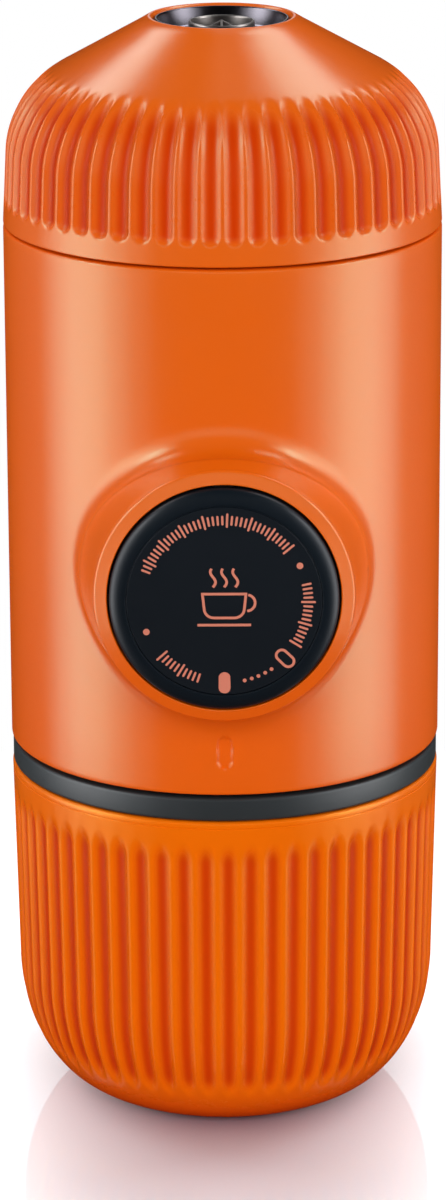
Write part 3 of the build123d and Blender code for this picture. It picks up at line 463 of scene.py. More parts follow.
def makeCup(s):
    rim = cupHigh.x
    corner = rim - s["draft"]
    base = corner - s["cornerWidth"]
    top = cupHigh.z

    def wallRadius(height):
        return corner + s["draft"] * (height - s["cornerHeight"]) / (top - s["cornerHeight"])

    outline = [(0, 0), (base / 2, 0), (base - s["baseRing"], 0)]
    firstCarved = len(outline)
    outline += arc((base, s["cornerHeight"]), corner - base, 270, 360, s["cornerSteps"], s["cornerHeight"])
    heights = steps(s["cornerHeight"], s["fluteHigh"] - s["fluteEnd"], s["wallSteps"])[1:]
    heights += steps(heights[-1], s["fluteHigh"] + s["flutes"]["endLength"], s["wallSteps"])[1:]
    outline += [(wallRadius(height), height) for height in heights]
    lastCarved = len(outline) - 1
    lineMiddle = top - s["lineDrop"]
    for shift, depth in s["lineSection"]:
        height = lineMiddle + shift * s["lineWidth"]
        outline.append((wallRadius(height) - depth * s["lineDepth"], height))
    roundFoot = top - s["rimRound"]
    outline += arc((rim - s["rimRound"], roundFoot), s["rimRound"], 0, 90, s["rimSteps"])
    outline += arc((rim - s["wall"] + s["rimRound"], roundFoot), s["rimRound"], 90, 180, s["lipSteps"])
    inner = corner - s["wall"]
    outline += [(inner, s["cornerHeight"])]
    hollow = s["cornerHeight"] - s["floor"]
    outline += arc((base, s["cornerHeight"]), inner - base, 360, 270, s["innerSteps"], hollow)[1:]
    outline += [(0, s["floor"])]
    bm = lathe(outline, s["columns"], share=1 / s["flutes"]["count"])
    rows = {}
    for number in range(firstCarved, lastCarved + 1):
        radius, height = outline[number]
        before, after = outline[number - 1], outline[number + 1]
        run = Vector((after[0] - before[0], after[1] - before[1])).normalized()
        runout = max(s["fluteLow"] - height, height - s["fluteHigh"], 0)
        rows[number] = ((run.y, -run.x), runout, 0)
    carve(bm, s["flutes"], rows)
    groove = bm.verts.layers.float["groove"]
    for vertex in bm.verts:
        # painted shade: the colour also darkens towards the foot, where the contact shadow falls, and the
        # shine dulls there too
        vertex[groove] = max(vertex[groove], 1 - vertex.co.z / s["footShadeTop"])
    repeatRound(bm, s["flutes"]["count"], s["flutes"]["turn"])
    return finishPiece(bm, "cup_shell", "cup", "cup_plastic", ["portable_cup"])


makeCup(cup)

# ---- outlet head: drafted wall, round shoulder and cone up to the opening
headLow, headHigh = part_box("head_shell")
head = {
    "draft": 0.5 * mm, "shoulderRise": 9.9 * mm, "shoulderRadius": 14.1 * mm, "wall": 2.0 * mm,
    "opening": 9.45 * mm, "lipRound": 0.65 * mm, "footRound": 0.3 * mm,
    "fluteRise": 4.2 * mm, "fluteBend": 38.0, "fluteMargin": 0.2 * mm, "lipLead": 30.0,
    "flutes": {
        "count": 60, "turn": 3.0, "depth": 0.7 * mm, "shape": scoopedFlute, "cutter": 1.45 * mm,
        "shoulder": 0.45 * mm, "landTone": 0.4,
    },
    "columns": (0, 0.07, 0.14, 0.21, 0.27, 0.32, 0.36, 0.40, 0.44, 0.5),
    "footSteps": 3, "endSteps": 9, "wallSteps": 5, "shoulderSteps": 30, "coneSteps": 8, "lipSteps": 7,
}


def makeHead(s):
    low, top = headLow.z, headHigh.z
    shoulder = headHigh.x - s["draft"]
    shoulderZ = low + s["shoulderRise"]
    radius = s["shoulderRadius"]
    lip = s["opening"] + s["lipRound"]
    taper = math.atan2(s["draft"], s["shoulderRise"])
    centre = (shoulder - radius * math.cos(taper), shoulderZ - radius * math.sin(taper))
    reach = math.hypot(lip - centre[0], top - centre[1])
    cone = math.atan2(top - centre[1], lip - centre[0]) - math.acos(radius / reach)
    outTurn, coneTurn = math.degrees(taper), math.degrees(cone)

    def wallAt(depth, height):
        # a place on the drafted wall, or at a depth inside it
        startRadius = centre[0] + (radius - depth) * math.cos(taper)
        startHeight = centre[1] + (radius - depth) * math.sin(taper)
        return (startRadius + (startHeight - height) * math.tan(taper), height)

    fluteLow = low + s["fluteRise"]
    cutter = s["flutes"]["cutter"]
    heights = steps(low + s["footRound"], fluteLow - cutter - s["fluteMargin"], s["footSteps"])
    heights += steps(heights[-1], fluteLow + s["fluteMargin"], s["endSteps"])[1:]
    heights += steps(heights[-1], shoulderZ, s["wallSteps"])[1:-1]
    footOut = wallAt(0, low)[0]
    outline = arc((footOut - s["footRound"], low + s["footRound"]), s["footRound"], 270, 340, s["footSteps"])
    firstWall = len(outline)
    outline += [wallAt(0, height) for height in heights]
    outline += arc(centre, radius, outTurn, coneTurn, s["shoulderSteps"])
    lastShoulder = len(outline) - 1
    coneFoot, coneTop = Vector(outline[-1]), Vector((lip, top))
    outline += [tuple(coneFoot.lerp(coneTop, share)) for share in steps(0, 1, s["coneSteps"])[1:-1]]
    lipStart = 90 + (90 - coneTurn) / 2 - s["lipLead"]
    outline += arc((lip, top - s["lipRound"]), s["lipRound"], lipStart, 180, s["lipSteps"])
    innerEnd = arc(centre, radius - s["wall"], coneTurn, coneTurn, 1)[0]
    drop = (innerEnd[0] - s["opening"]) / math.tan(cone)
    outline += [(s["opening"], innerEnd[1] + drop)]
    outline += arc(centre, radius - s["wall"], coneTurn, outTurn, s["coneSteps"])
    outline += [wallAt(s["wall"], low)]
    bm = lathe(outline, 2 * len(s["columns"]) - 2, closed=True, share=1 / s["flutes"]["count"])
    gatherColumns(bm, s["columns"], math.tau / s["flutes"]["count"])
    rows = {}
    for number in range(firstWall, lastShoulder + 1):
        offset = Vector((outline[number][0] - centre[0], outline[number][1] - centre[1]))
        bearing = max(math.atan2(offset.y, offset.x), taper)
        over = max(0.0, bearing - math.radians(s["fluteBend"]))
        lift = (radius + cutter - s["flutes"]["depth"]) * (1 / math.cos(over) - 1)
        runout = max(0.0, fluteLow - outline[number][1])
        rows[number] = ((math.cos(bearing), math.sin(bearing)), runout, lift)
    carve(bm, s["flutes"], rows)
    repeatRound(bm, s["flutes"]["count"], s["flutes"]["turn"])
    return finishPiece(bm, "head_cover", "head", "body_plastic", ["head_shell"])


makeHead(head)

# ---- body shell: a cylinder with the round boss of the knob, joined by a rolling-ball fillet
bodyLow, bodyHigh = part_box("main_body")
knobLow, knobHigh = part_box("knob_shell")
knobHeight = (knobLow.z + knobHigh.z) / 2
shell = {
    "wall": 2.0 * mm, "round": 0.4 * mm, "lip": 2.0 * mm, "lipRadius": 26.8 * mm, "panelTurn": 62.0,
    "bore": 15.8 * mm, "boreRound": 0.15 * mm, "boreLip": 1.7 * mm, "guideBore": 17.1 * mm,
    "edge": 17.65 * mm, "edgeDrop": 0.6 * mm, "edgeRound": 0.5 * mm, "draft": 9.0, "blend": 4.0 * mm,
    "markRise": 6.2 * mm, "markLength": 4.8 * mm, "markWidth": 2.3 * mm, "markDepth": 0.4 * mm,
    "markSlope": 0.35 * mm, "markReach": 3.0 * mm, "markSteps": 30, "frontSteps": 44, "sideSteps": 124,
    "backSteps": 118, "roundSteps": 4, "settleRounds": 12, "liningSteps": 7, "guideSteps": 3, "boreSteps": 4,
    "edgeSteps": 8, "coneSteps": 7, "filletSteps": 16, "skinSteps": 26,
}


def onCylinder(radius, along, up):
    # wraps a flat place, given by its distances along and up from the boss, round the body
    turn = along / radius
    return Vector((radius * math.sin(turn), -radius * math.cos(turn), knobHeight + up))


def bossSpoke(s, corner, innerCorner):
    # one section through boss and shell, from the inner wall's border over the boss to the outer wall's
    outer, inner = bodyHigh.x, bodyHigh.x - s["wall"]
    turn = math.atan2(corner[1], corner[0])
    side, rise = math.cos(turn), math.sin(turn)
    front = -bodyLow.y
    draft = math.radians(s["draft"])
    edge, bore, guide = s["edge"], s["bore"], s["guideBore"]
    ballTrack = outer + s["blend"]
    depth = front
    for attempt in range(s["settleRounds"]):
        # the fillet's ball and the drafted cone settle on each other
        ballRadius = edge + (front - s["edgeDrop"] - depth) * math.tan(draft) + s["blend"] / math.cos(draft)
        depth = math.sqrt(ballTrack ** 2 - (ballRadius * side) ** 2)

    def at(radius, out):
        return Vector((radius * side, -out, knobHeight + radius * rise))

    boreAlong = inner * math.asin(guide * side / inner)
    guideOut = math.sqrt(inner ** 2 - (guide * side) ** 2)
    points = []
    for share in steps(1, 0, s["liningSteps"]):
        along = boreAlong + (innerCorner[0] - boreAlong) * share
        up = guide * rise + (innerCorner[1] - guide * rise) * share
        points.append(onCylinder(inner, along, up))
    lipBack = front - s["boreLip"]
    points += [at(guide, out) for out in steps(guideOut, lipBack, s["guideSteps"])[1:]]
    points += [at(bore, lipBack)]
    small = s["boreRound"]
    points += [at(*place) for place in arc((bore + small, front - small), small, 180, 90, s["boreSteps"])]
    edgeOut = front - s["edgeDrop"]
    big = s["edgeRound"]
    slope = math.degrees(math.atan2(s["edgeDrop"], edge - bore))
    rounding = arc((edge - big, edgeOut - big), big, 90 - slope, -s["draft"], s["edgeSteps"])
    points += [at(*place) for place in rounding]
    ball = at(ballRadius, depth)
    toCone = Vector((-math.cos(draft) * side, -math.sin(draft), -math.cos(draft) * rise))
    toWall = Vector((-ball.x, -ball.y, 0)).normalized()
    foot = ball + toCone * s["blend"]
    start = points[-1]
    points += [start.lerp(foot, share) for share in steps(0, 1, s["coneSteps"])[1:-1]]
    opening = toCone.angle(toWall)
    for share in steps(0, 1, s["filletSteps"]):
        first = math.sin((1 - share) * opening) / math.sin(opening)
        second = math.sin(share * opening) / math.sin(opening)
        points.append(ball + (toCone * first + toWall * second) * s["blend"])
    landing = points[-1]
    landAlong = outer * math.asin(landing.x / outer)
    landUp = landing.z - knobHeight
    landPlace = Vector((landAlong, landUp))
    for share in steps(0, 1, s["skinSteps"])[1:]:
        points.append(onCylinder(outer, *landPlace.lerp(Vector(corner), share)))
    return points


def growRing(bm, edges, radius, height):
    # extrudes a loop round the body's axis and sets the new loop on that radius and height
    fresh, ring = extrude(bm, edges)
    for vertex in fresh:
        turn = math.atan2(vertex.co.y, vertex.co.x)
        vertex.co = (radius * math.cos(turn), radius * math.sin(turn), height)
    return ring


def makeShell(s):
    outer, inner = bodyHigh.x, bodyHigh.x - s["wall"]
    low, high, rounding = bodyLow.z, bodyHigh.z, s["round"]
    halfTurn = math.radians(s["panelTurn"])
    middle = steps(-s["markReach"], s["markReach"], s["markSteps"])
    outside = steps(s["markReach"], outer * halfTurn, s["frontSteps"])[1:]
    alongs = [-value for value in reversed(outside)] + middle + outside
    turns = [value / outer for value in alongs]

    def border(radius, lowest, highest):
        ups = [value - knobHeight for value in steps(lowest, highest, s["sideSteps"])]
        side = radius * halfTurn
        right = [(side, up) for up in ups]
        top = [(radius * turn, ups[-1]) for turn in reversed(turns)]
        left = [(-side, up) for up in reversed(ups)]
        bottom = [(radius * turn, ups[0]) for turn in turns]
        return right[:-1] + top[:-1] + left[:-1] + bottom[:-1]

    outerBorder = border(outer, low + rounding, high - rounding)
    innerBorder = border(inner, low, high - s["lip"])
    spokes = [bossSpoke(s, *pair) for pair in zip(outerBorder, innerBorder)]
    across, along = len(spokes), len(spokes[0]) - 1
    bm = newMesh()
    # a unit grid: its columns become the spokes, its rows their points
    bmesh.ops.create_grid(bm, x_segments=across, y_segments=along, size=0.5)
    for vertex in bm.verts:
        column = round((vertex.co.x + 0.5) * across) % across
        vertex.co = spokes[column][round((vertex.co.y + 0.5) * along)]
    bmesh.ops.remove_doubles(bm, verts=bm.verts, dist=weld)

    def atSide(vertex):
        return abs(math.atan2(vertex.co.x, -vertex.co.y) - halfTurn) < touch / outer

    sides = [edge for edge in bm.edges if edge.is_boundary and all(atSide(vertex) for vertex in edge.verts)]
    ends = list({vertex for edge in sides for vertex in edge.verts})
    spinRound(bm, ends + sides, math.tau - 2 * halfTurn, s["backSteps"], use_merge=False)
    bmesh.ops.remove_doubles(bm, verts=bm.verts, dist=2 * weld)

    def loopAt(height):
        return [
            edge for edge in bm.edges
            if edge.is_boundary and all(abs(vertex.co.z - height) < touch for vertex in edge.verts)
            and all(math.hypot(vertex.co.x, vertex.co.y) > outer - s["wall"] / 2 for vertex in edge.verts)
        ]

    bottomLoop, topLoop = loopAt(low + rounding), loopAt(high - rounding)
    foot = arc((outer - rounding, low + rounding), rounding, 0, -90, s["roundSteps"])[1:]
    foot += [(inner, low)]
    for radius, height in foot:
        bottomLoop = growRing(bm, bottomLoop, radius, height)
    lip = arc((outer - rounding, high - rounding), rounding, 0, 90, s["roundSteps"])[1:]
    lip += [(s["lipRadius"], high), (s["lipRadius"], high - s["lip"]), (inner, high - s["lip"])]
    for radius, height in lip:
        topLoop = growRing(bm, topLoop, radius, height)
    # the alignment groove, a slot with round ends
    markMiddle = low + s["markRise"]
    straight = (s["markLength"] - s["markWidth"]) / 2
    for vertex in bm.verts:
        if abs(math.hypot(vertex.co.x, vertex.co.y) - outer) > touch or vertex.co.y > 0:
            continue
        overshoot = max(abs(vertex.co.z - markMiddle) - straight, 0)
        inside = s["markWidth"] / 2 - math.hypot(vertex.co.x, overshoot)
        share = min(1, max(0, inside / s["markSlope"]))
        vertex.co.y += s["markDepth"] * share * share * (3 - 2 * share)
    return finishPiece(bm, "body_casing", "main_body", "body_plastic", ["main_body"])


makeShell(shell)

# ---- slate collar of the tank
collarLow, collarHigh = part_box("tank_collar")
collar = {
    "neck": 25.05 * mm, "seat": 49.02 * mm, "bandLow": 49.0 * mm, "round": 0.45 * mm,
    "skirt": 27.55 * mm, "skirtBore": 26.65 * mm, "grooveRadius": 26.85 * mm, "grooveDrop": 4.4 * mm,
    "grooveHalf": 0.75 * mm, "steps": 300, "roundSteps": 6,
}


def makeCollar(s):
    outer, top = collarHigh.x, collarHigh.z
    grooveTop = s["bandLow"] - s["grooveDrop"] + s["grooveHalf"]
    grooveFoot = grooveTop - 2 * s["grooveHalf"]
    outline = [(s["neck"], s["seat"]), (s["neck"], top)]
    outline += arc((outer - s["round"], top - s["round"]), s["round"], 90, 0, s["roundSteps"])
    outline += arc((outer - s["round"], s["bandLow"] + s["round"]), s["round"], 0, -90, s["roundSteps"])
    outline += [(s["skirt"], s["bandLow"]), (s["skirt"], grooveTop), (s["grooveRadius"], grooveTop)]
    outline += [(s["grooveRadius"], grooveFoot), (s["skirt"], grooveFoot), (s["skirt"], collarLow.z)]
    outline += [(s["skirtBore"], collarLow.z), (s["skirtBore"], s["seat"])]
    bm = lathe(outline, s["steps"], closed=True)
    return finishPiece(bm, "collar_ring", "tank", "slate_plastic", ["tank_collar"])


makeCollar(collar)

# ---- pump knob, modelled facing up and then turned to the front
toFront = Matrix.Translation((0, 0, knobHeight)) @ Matrix.Rotation(math.radians(90), 4, "X")
knobFront = -knobLow.y
knob = {
    "band": 2.1 * mm, "bandDrop": 1.3 * mm, "recess": 13.25 * mm, "recessDepth": 1.0 * mm,
    "recessLip": 0.06 * mm, "screwBore": 2.9 * mm, "screwDepth": 1.22 * mm, "shankBore": 1.6 * mm,
    "plate": 3.4 * mm, "hubBore": 4.82 * mm, "hub": 6.4 * mm, "hubLength": 4.0 * mm, "wall": 1.6 * mm,
    "keys": 3, "keyHalf": 5.7, "keyDepth": 0.7 * mm, "keyEnd": 37.6 * mm, "steps": 360, "bandSteps": 16,
}


def makeKnob(s):
    outer, back, front = knobHigh.x, -knobHigh.y, knobFront
    inner = front - s["plate"]
    outline = [(outer, back), (outer, s["keyEnd"])]
    bandCentre = (outer - s["band"], front - s["bandDrop"])
    outline += arc(bandCentre, s["band"], 0, 90, s["bandSteps"], s["bandDrop"])
    floor = front - s["recessDepth"]
    outline += [(s["recess"], front - s["recessLip"]), (s["recess"], floor), (s["screwBore"], floor)]
    outline += [(s["screwBore"], floor - s["screwDepth"]), (s["shankBore"], floor - s["screwDepth"])]
    outline += [(s["shankBore"], inner), (s["hubBore"], inner), (s["hubBore"], inner - s["hubLength"])]
    outline += [(s["hub"], inner - s["hubLength"]), (s["hub"], inner), (outer - s["wall"], inner)]
    outline += [(outer - s["wall"], back)]
    bm = lathe(outline, s["steps"], closed=True)
    # slots for the lock ring's keys, in the back of the cap's side
    for vertex in bm.verts:
        radius = math.hypot(vertex.co.x, vertex.co.y)
        share = (math.degrees(math.atan2(vertex.co.y, vertex.co.x)) - 90) * s["keys"] / 360
        offset = abs(share - round(share)) * 360 / s["keys"]
        if radius > outer - touch and vertex.co.z <= s["keyEnd"] and offset < s["keyHalf"]:
            vertex.co.x *= (outer - s["keyDepth"]) / outer
            vertex.co.y *= (outer - s["keyDepth"]) / outer
    bmesh.ops.transform(bm, matrix=toFront, verts=bm.verts)
    return finishPiece(bm, "knob_cap", "knob", "knob_plastic", ["knob_shell"])


makeKnob(knob)

faceLow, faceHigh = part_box("knob_face")
face = {"chamfer": 0.12 * mm, "steps": 240, "rings": 4, "outerRing": 0.8}


def makeFace(s):
    outer, back, front = faceHigh.x, -faceHigh.y, -faceLow.y
    outline = [(0, back), (outer, back), (outer, front - s["chamfer"]), (outer - s["chamfer"], front)]
    outline += [(outer * share, front) for share in steps(s["outerRing"], 0, s["rings"])]
    bm = lathe(outline, s["steps"])
    bmesh.ops.transform(bm, matrix=toFront, verts=bm.verts)
    return finishPiece(bm, "knob_disc", "knob", "face_plastic", ["knob_face"])


makeFace(face)

# ---- prints on the knob: lock and unlock marks, a plain graduated ring and a cup pictogram
prints = {
    "thickness": 0.03 * mm, "sink": 0.005 * mm, "stroke": 0.36 * mm, "segments": 28,
    "markRadius": 11.45 * mm, "pill": (1.6 * mm, 3.0 * mm), "openPill": (1.9 * mm, 3.1 * mm),
    "openTurn": 45.5, "dot": 0.52 * mm, "dotTurns": (13.7, 18.7, 23.5, 28.6, 33.6),
    "bigDot": 0.9 * mm, "bigDotTurns": (116, 292),
    "tickRadius": 11.3 * mm, "tickRings": ((58, 102), (130, 248), (312, 342)), "tickGap": 3.2,
    "tickWidth": 0.3 * mm, "tickLength": 1.35 * mm, "longTick": 2.0 * mm, "longEvery": 5,
    # the cup pictogram: half widths and heights from the knob's middle
    "bowlRim": (2.9 * mm, 0.9 * mm), "bowlSide": (2.75 * mm, -0.6 * mm), "bowlFoot": (1.4 * mm, -1.0 * mm),
    "bowlRound": 1.3 * mm, "brim": (3.1 * mm, 1.05 * mm), "saucer": (3.6 * mm, -3.3 * mm),
    "handle": (3.0 * mm, -0.2 * mm), "handleRadius": 1.15 * mm, "handleTurns": (78, -86),
    "steams": (-1.5 * mm, 0.0, 1.5 * mm), "steamFoot": 2.0 * mm, "steamHeight": 2.6 * mm,
    "steamSway": 0.35 * mm, "steamWave": 2.2 / mm, "curveSteps": 12,
}


def dialPlace(radius, turn):
    # a place on the dial: the turn counts from the bottom towards the right
    return Matrix.Rotation(math.radians(turn), 4, "Z") @ Matrix.Translation((0, -radius, 0))


def addPill(bm, place, width, length, stroke=None):
    # a round-ended mark, filled or as an outline of that stroke
    before = set(bm.verts)
    made = bmesh.ops.create_circle(bm, cap_ends=True, segments=prints["segments"], radius=width / 2)["verts"]
    for vertex in made:
        vertex.co.y += (length - width) / 2 * (1 if vertex.co.y > 0 else -1)
    faces = list({item for vertex in made for item in vertex.link_faces})
    if stroke:
        bmesh.ops.inset_region(bm, faces=faces, thickness=stroke, use_even_offset=True, use_boundary=True)
        bmesh.ops.delete(bm, geom=faces, context="FACES_ONLY")
    bmesh.ops.transform(bm, matrix=place, verts=[vertex for vertex in bm.verts if vertex not in before])


def addRibbon(bm, points, width):
    # a flat line of that width through the points
    def sides(number):
        before = points[max(0, number - 1)]
        after = points[min(len(points) - 1, number + 1)]
        run = Vector((after[0] - before[0], after[1] - before[1])).normalized()
        here = Vector(points[number])
        away = Vector((-run.y, run.x)) * width / 2
        return (here + away).to_3d(), (here - away).to_3d()

    edges = [bm.edges.new([bm.verts.new(place) for place in sides(0)])]
    for number in range(1, len(points)):
        left, right = sides(number)
        oldLeft = sides(number - 1)[0]
        fresh, edges = extrude(bm, edges)
        for vertex in fresh:
            vertex.co = left if (vertex.co - oldLeft).length < touch else right


def makePrints(s):
    bm = newMesh()
    addPill(bm, dialPlace(s["markRadius"], 0), *s["pill"])
    addPill(bm, dialPlace(s["markRadius"], s["openTurn"]), *s["openPill"], stroke=s["stroke"])
    for turn in s["dotTurns"]:
        addPill(bm, dialPlace(s["markRadius"], turn), s["dot"], s["dot"])
    for turn in s["bigDotTurns"]:
        addPill(bm, dialPlace(s["tickRadius"], turn), s["bigDot"], s["bigDot"])
    for first, last in s["tickRings"]:
        count = round((last - first) / s["tickGap"])
        for number, turn in enumerate(steps(first, last, count)):
            length = s["tickLength"] if number % s["longEvery"] else s["longTick"]
            addPill(bm, dialPlace(s["tickRadius"], turn), s["tickWidth"], length)
    half = arc(s["bowlFoot"], s["bowlRound"], 270, 360, s["curveSteps"] // 2) + [s["bowlSide"], s["bowlRim"]]
    bowl = [(-x, y) for x, y in reversed(half)] + half
    handle = arc(s["handle"], s["handleRadius"], *s["handleTurns"], s["curveSteps"])
    lines = [bowl, handle] + [[(-x, y), (x, y)] for x, y in (s["brim"], s["saucer"])]
    rises = steps(0, s["steamHeight"], s["curveSteps"])
    steam = [(s["steamSway"] * math.sin(up * s["steamWave"]), s["steamFoot"] + up) for up in rises]
    lines += [[(side + x, y) for x, y in steam] for side in s["steams"]]
    for line in lines:
        addRibbon(bm, line, s["stroke"])
    grown = bmesh.ops.extrude_face_region(bm, geom=list(bm.faces), use_keep_orig=True)["geom"]
    raised = [item for item in grown if isinstance(item, bmesh.types.BMVert)]
    bmesh.ops.translate(bm, vec=(0, 0, s["thickness"]), verts=raised)
    bmesh.ops.translate(bm, vec=(0, 0, -faceLow.y - s["sink"]), verts=bm.verts)
    bmesh.ops.transform(bm, matrix=toFront, verts=bm.verts)
    return finishPiece(bm, "knob_prints", "knob", "face_plastic", finish="print")


makePrints(prints)

# ---- outlet nozzle: dark bezel with a rolled rim, spout ring and sloping fins
bezelLow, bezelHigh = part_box("nozzle_bezel")
spoutLow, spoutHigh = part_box("nozzle_spout")
nozzle = {
    "rim": 0.5 * mm, "wallSlope": 0.55 * mm, "floor": 0.8 * mm, "floorRound": 0.7 * mm, "fit": 0.02 * mm,
    "spoutWall": 0.5 * mm, "fins": 6, "finTurn": 30.0, "finWidth": 0.36 * mm, "finDrop": 1.6 * mm,
    "finHeight": 2.2 * mm, "finTip": 0.05 * mm, "steps": 200, "rimSteps": 10, "floorSteps": 8,
}


def makeBezel(s):
    outer, low, top = bezelHigh.x, bezelLow.z, bezelHigh.z
    inner = spoutHigh.x + s["fit"]
    half = s["rim"] / 2
    floor = low + s["floor"]
    wallFoot = outer - s["rim"] - s["wallSlope"]
    outline = [(inner, low), (outer, low)]
    outline += arc((outer - half, top - half), half, 0, 180, s["rimSteps"])
    roundCentre = (wallFoot - s["floorRound"], floor + s["floorRound"])
    outline += arc(roundCentre, s["floorRound"], 0, -90, s["floorSteps"])
    outline += [(inner, floor)]
    bm = lathe(outline, s["steps"], closed=True)
    return finishPiece(bm, "outlet_bezel", "head", "dark_chrome", ["nozzle_bezel"])


def makeSpout(s):
    outer, low, top = spoutHigh.x, spoutLow.z, spoutHigh.z
    half = s["spoutWall"] / 2
    inner = outer - s["spoutWall"]
    outline = [(inner, low), (outer, low)] + arc((outer - half, top - half), half, 0, 180, s["rimSteps"])
    bm = lathe(outline, s["steps"], closed=True)
    fin = bmesh.ops.create_cube(bm, size=1)["verts"]
    finFoot = top - s["finDrop"] - s["finHeight"]
    for vertex in fin:
        atRim = vertex.co.x > 0
        crown = top + s["finTip"] - (s["finDrop"] if atRim else 0)
        height = crown if vertex.co.z > 0 else finFoot
        vertex.co = (outer - half if atRim else 0, vertex.co.y * s["finWidth"], height)
    finFaces = list({item for vertex in fin for item in vertex.link_faces})
    finEdges = list({item for vertex in fin for item in vertex.link_edges})
    turnMesh(bm, fin, s["finTurn"])
    rest = s["fins"] - 1
    spinRound(bm, fin + finEdges + finFaces, math.tau * rest / s["fins"], rest, use_duplicate=True)
    return finishPiece(bm, "outlet_spout", "head", "dark_chrome", ["nozzle_spout"], finish="satin_chrome")


makeBezel(nozzle)
makeSpout(nozzle)

# ---- springs of the three valves, made as fixed coils; in the pump they shorten as their balls lift
valveCoil = {
    "wire": 0.22 * mm, "turns": 4, "turnSteps": 28, "wireSteps": 8, "ballLift": 1.0 * mm, "sharpAngle": 60,
}


def makeCoil(s, valve):
    low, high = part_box(valve + "_spring")
    wire = s["wire"]
    middle = (low + high) / 2
    count = s["turns"] * s["turnSteps"]
    rise = (high.z - low.z - 2 * wire) / count
    bm = newMesh()
    section = bmesh.ops.create_circle(bm, segments=s["wireSteps"], radius=wire)["verts"]
    turnMesh(bm, section, 90, "X")
    bmesh.ops.translate(bm, vec=(high.x - wire, middle.y, low.z + wire), verts=section)
    bmesh.ops.spin(
        bm, geom=section + list(bm.edges), cent=(middle.x, middle.y, 0), axis=(0, 0, 1), dvec=(0, 0, rise),
        angle=math.tau * s["turns"], steps=count, use_merge=False,
    )
    bmesh.ops.holes_fill(bm, edges=[edge for edge in bm.edges if edge.is_boundary], sides=0)
    piece = finishPiece(
        bm, valve + "_coil", "main_body", "spring_steel", [valve + "_spring"], sharpAngle=s["sharpAngle"],
    )
    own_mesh(piece)


for valve in ("inlet", "outlet", "relief"):
    makeCoil(valveCoil, valve)
print("pieces made")


# ---- studio: table, dark flags, bright cards, world, lamps and camera
def addStage(bm, name, material):
    item = addMesh(bm, name, material)
    return item


def onlyReflected(item):
    item.visible_camera = False
    item.visible_diffuse = False
    item.visible_transmission = False
    item.visible_shadow = False


table = {
    "radius": 0.17, "segments": 128, "colour": (0.84, 0.89, 0.95, 1.0), "roughness": 0.05, "ior": 1.9,
    "shadowColour": (0.35, 0.32, 0.38, 1.0), "shadowReach": 0.036, "shadowSamples": 12,
    "reflected": (0.03, 0.02, 0.01, 1.0), "paintedBounce": (0.6, 0.24, 0.16, 1.0),
    "fadeStart": 0.07, "fadeEnd": 0.15, "lift": 0.5, "liftStart": 0.002, "liftEnd": 0.031,
}


def makeTable(s):
    # a glossy top with a painted soft shadow, which fades to plain white for the camera; towards the sides it
    # glows with painted light up to white, reflections see it dark, and its warm colour paints light bounced
    # back on the object
    finish = Finish("studioTable")
    place = finish.place()
    reach = finish.add("VectorMath", {"operation": "LENGTH"}, {0: place}, output="Value")
    sideways = finish.add("SeparateXYZ", {}, {0: place}, output="X").absolute()
    far = reach.rise(s["fadeStart"], s["fadeEnd"])
    # painted light: for the camera the top glows more towards the sides, up to white
    paintedSideLight = sideways.rise(s["liftStart"], s["liftEnd"])
    camera = finish.add("LightPath", output="Is Camera Ray")
    diffuse = finish.add("LightPath", output="Is Diffuse Ray")
    # painted shadow: ambient occlusion darkens the top's colour near the object
    occlusion = {"Distance": s["shadowReach"]}
    openness = finish.add("AmbientOcclusion", {"samples": s["shadowSamples"]}, occlusion, output="AO")
    paintedShadow = finish.blendColours(openness, s["shadowColour"], s["colour"])
    # painted bounce light: diffuse rays see the top warm orange, as if lit back by the object
    unseen = finish.blendColours(diffuse, s["reflected"], s["paintedBounce"])
    colour = finish.blendColours(camera, unseen, paintedShadow)
    top = finish.add("BsdfPrincipled", {}, {
        "Base Color": colour, "Roughness": s["roughness"], "IOR": s["ior"],
        "Emission Color": paintedSideLight * paintedSideLight * camera * s["lift"], "Emission Strength": 1.0,
    })
    white = finish.add("Emission", {}, {"Color": plainWhite, "Strength": 1.0})
    shader = finish.add("MixShader", {}, {0: far * camera, 1: top, 2: white})
    bm = bmesh.new()
    bmesh.ops.create_circle(bm, cap_ends=True, segments=s["segments"], radius=s["radius"])
    addStage(bm, "studio_table", finish.surface(shader))


makeTable(table)

wall = {"stepTurn": 6, "leastSteps": 8}


def addWall(bm, outline, firstTurn, lastTurn):
    # a wall of (radius, height) points between two turns, which count from the front towards the right
    points = [bm.verts.new((0, -radius, height)) for radius, height in outline]
    edges = [bm.edges.new(pair) for pair in zip(points, points[1:])]
    turnMesh(bm, points, firstTurn)
    turn = lastTurn - firstTurn
    count = max(wall["leastSteps"], round(turn / wall["stepTurn"]))
    spinRound(bm, points + edges, math.radians(turn), count)


flags = {"radius": 1.6, "foot": -0.8, "sill": 0.1, "top": 1.5, "gap": 4.5, "tone": (0.005, 0.005, 0.005, 1.0)}


def makeFlags(s):
    # dark cards all round, which only reflections see, with a narrow window at the back
    finish = Finish("studioFlags")
    dark = finish.add("Emission", {}, {"Color": s["tone"], "Strength": 1.0})
    radius, gap = s["radius"], s["gap"]
    bm = bmesh.new()
    addWall(bm, [(0, s["foot"]), (radius, s["foot"]), (radius, s["sill"])], 0, 360)
    addWall(bm, [(radius, s["sill"]), (radius, s["top"]), (0, s["top"])], gap - 180, 180 - gap)
    onlyReflected(addStage(bm, "studio_flags", finish.surface(dark)))


makeFlags(flags)

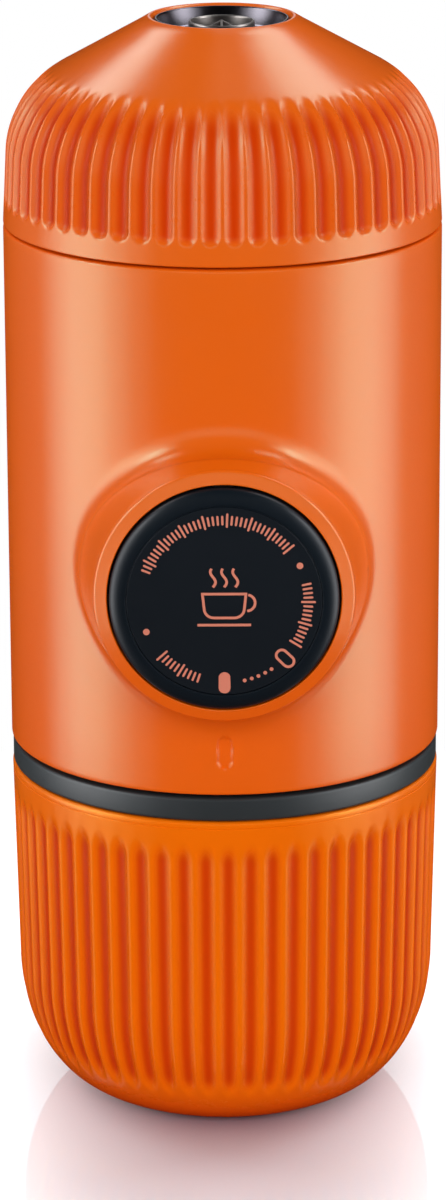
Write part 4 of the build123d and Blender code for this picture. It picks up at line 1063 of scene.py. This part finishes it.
cards = {
    "tone": (1.0, 0.99, 1.0, 1.0),
    "places": [
        {"turns": (-106, -38), "radius": 0.68, "heights": (-0.38, 0.45), "strength": 1.4},
        {"turns": (-98, -50), "radius": 0.64, "heights": (-0.36, 0.45), "strength": 4.0},
        {"turns": (-88, -62), "radius": 0.60, "heights": (-0.34, 0.45), "strength": 7.3},
        {"turns": (-88, -62), "radius": 0.58, "heights": (0.36, 0.56), "strength": 12.0},
        {"turns": (40, 104), "radius": 0.68, "heights": (-0.38, 0.45), "strength": 1.6},
        {"turns": (52, 97), "radius": 0.64, "heights": (-0.36, 0.45), "strength": 4.4},
        {"turns": (62, 86), "radius": 0.60, "heights": (-0.34, 0.45), "strength": 7.1},
        {"turns": (62, 88), "radius": 0.58, "heights": (0.36, 0.56), "strength": 12.0},
        {"turns": (-156, -96), "radius": 0.42, "heights": (0.45, 0.68), "strength": 5.7},
        {"turns": (98, 164), "radius": 0.42, "heights": (0.54, 0.98), "strength": 6.0},
    ],
}


def makeCards(s):
    # bright faces of the softboxes, each group brighter towards its middle for soft highlights
    for number, plan in enumerate(s["places"]):
        finish = Finish(f"softboxFace{number}")
        bright = finish.add("Emission", {}, {"Color": s["tone"], "Strength": plan["strength"]})
        bm = bmesh.new()
        addWall(bm, [(plan["radius"], height) for height in plan["heights"]], *plan["turns"])
        onlyReflected(addStage(bm, f"softbox_face_{number}", finish.surface(bright)))


makeCards(cards)

room = {"ambient": 0.40}


def makeWorld(s):
    # plain white where it is seen, reflected or looked through, and dimmer as a light
    finish = Finish("studioWorld", "worlds")
    seen = finish.add("LightPath", output="Is Camera Ray")
    for ray in ("Is Glossy Ray", "Is Transmission Ray"):
        seen = seen.atLeast(finish.add("LightPath", output=ray))
    dim = finish.add("Background", {}, {"Color": plainWhite, "Strength": s["ambient"]})
    white = finish.add("Background", {}, {"Color": plainWhite, "Strength": 1.0})
    shader = finish.add("MixShader", {}, {0: seen, 1: dim, 2: white})
    bpy.context.scene.world = finish.surface(shader, "OutputWorld")


makeWorld(room)

lamps = [
    {"name": "leftSoftbox", "at": (-0.49, 0.33, 0.25), "aim": (0, 0, 0.25), "size": (0.3, 1.1), "power": 3.3},
    {"name": "rightSoftbox", "at": (0.49, 0.33, 0.25), "aim": (0, 0, 0.25), "size": (0.3, 1.1), "power": 3.9},
    {"name": "frontFill", "at": (0.0, -0.85, 0.44), "aim": (0, 0, 0.08), "size": (1.2, 0.5), "power": 5.7},
]


def makeLamp(s):
    light = bpy.data.lights.new(s["name"], "AREA")
    light.shape = "RECTANGLE"
    light.size, light.size_y = s["size"]
    light.energy = s["power"]
    lamp = addObject(s["name"], light)
    lamp.location = s["at"]
    lamp.rotation_euler = (Vector(s["aim"]) - lamp.location).to_track_quat("-Z", "Y").to_euler()
    lamp.visible_glossy = False


for lampPlan in lamps:
    makeLamp(lampPlan)

view = {
    "at": (0, -0.657, 0.273), "pitch": 17.03, "roll": -0.253, "lens": 144.3, "sensor": 36, "shift": -0.001,
}


def makeCamera(s):
    lens = bpy.data.cameras.new("productCamera")
    lens.lens = s["lens"]
    lens.sensor_width = s["sensor"]
    lens.shift_x = s["shift"]
    camera = addObject("productCamera", lens)
    tilt = Matrix.Rotation(math.radians(90 - s["pitch"]), 4, "X")
    roll = Matrix.Rotation(math.radians(s["roll"]), 4, "Z")
    camera.matrix_world = Matrix.Translation(s["at"]) @ tilt @ roll
    bpy.context.scene.camera = camera


makeCamera(view)
bpy.context.scene.view_settings.view_transform = "Standard"
print("studio made")
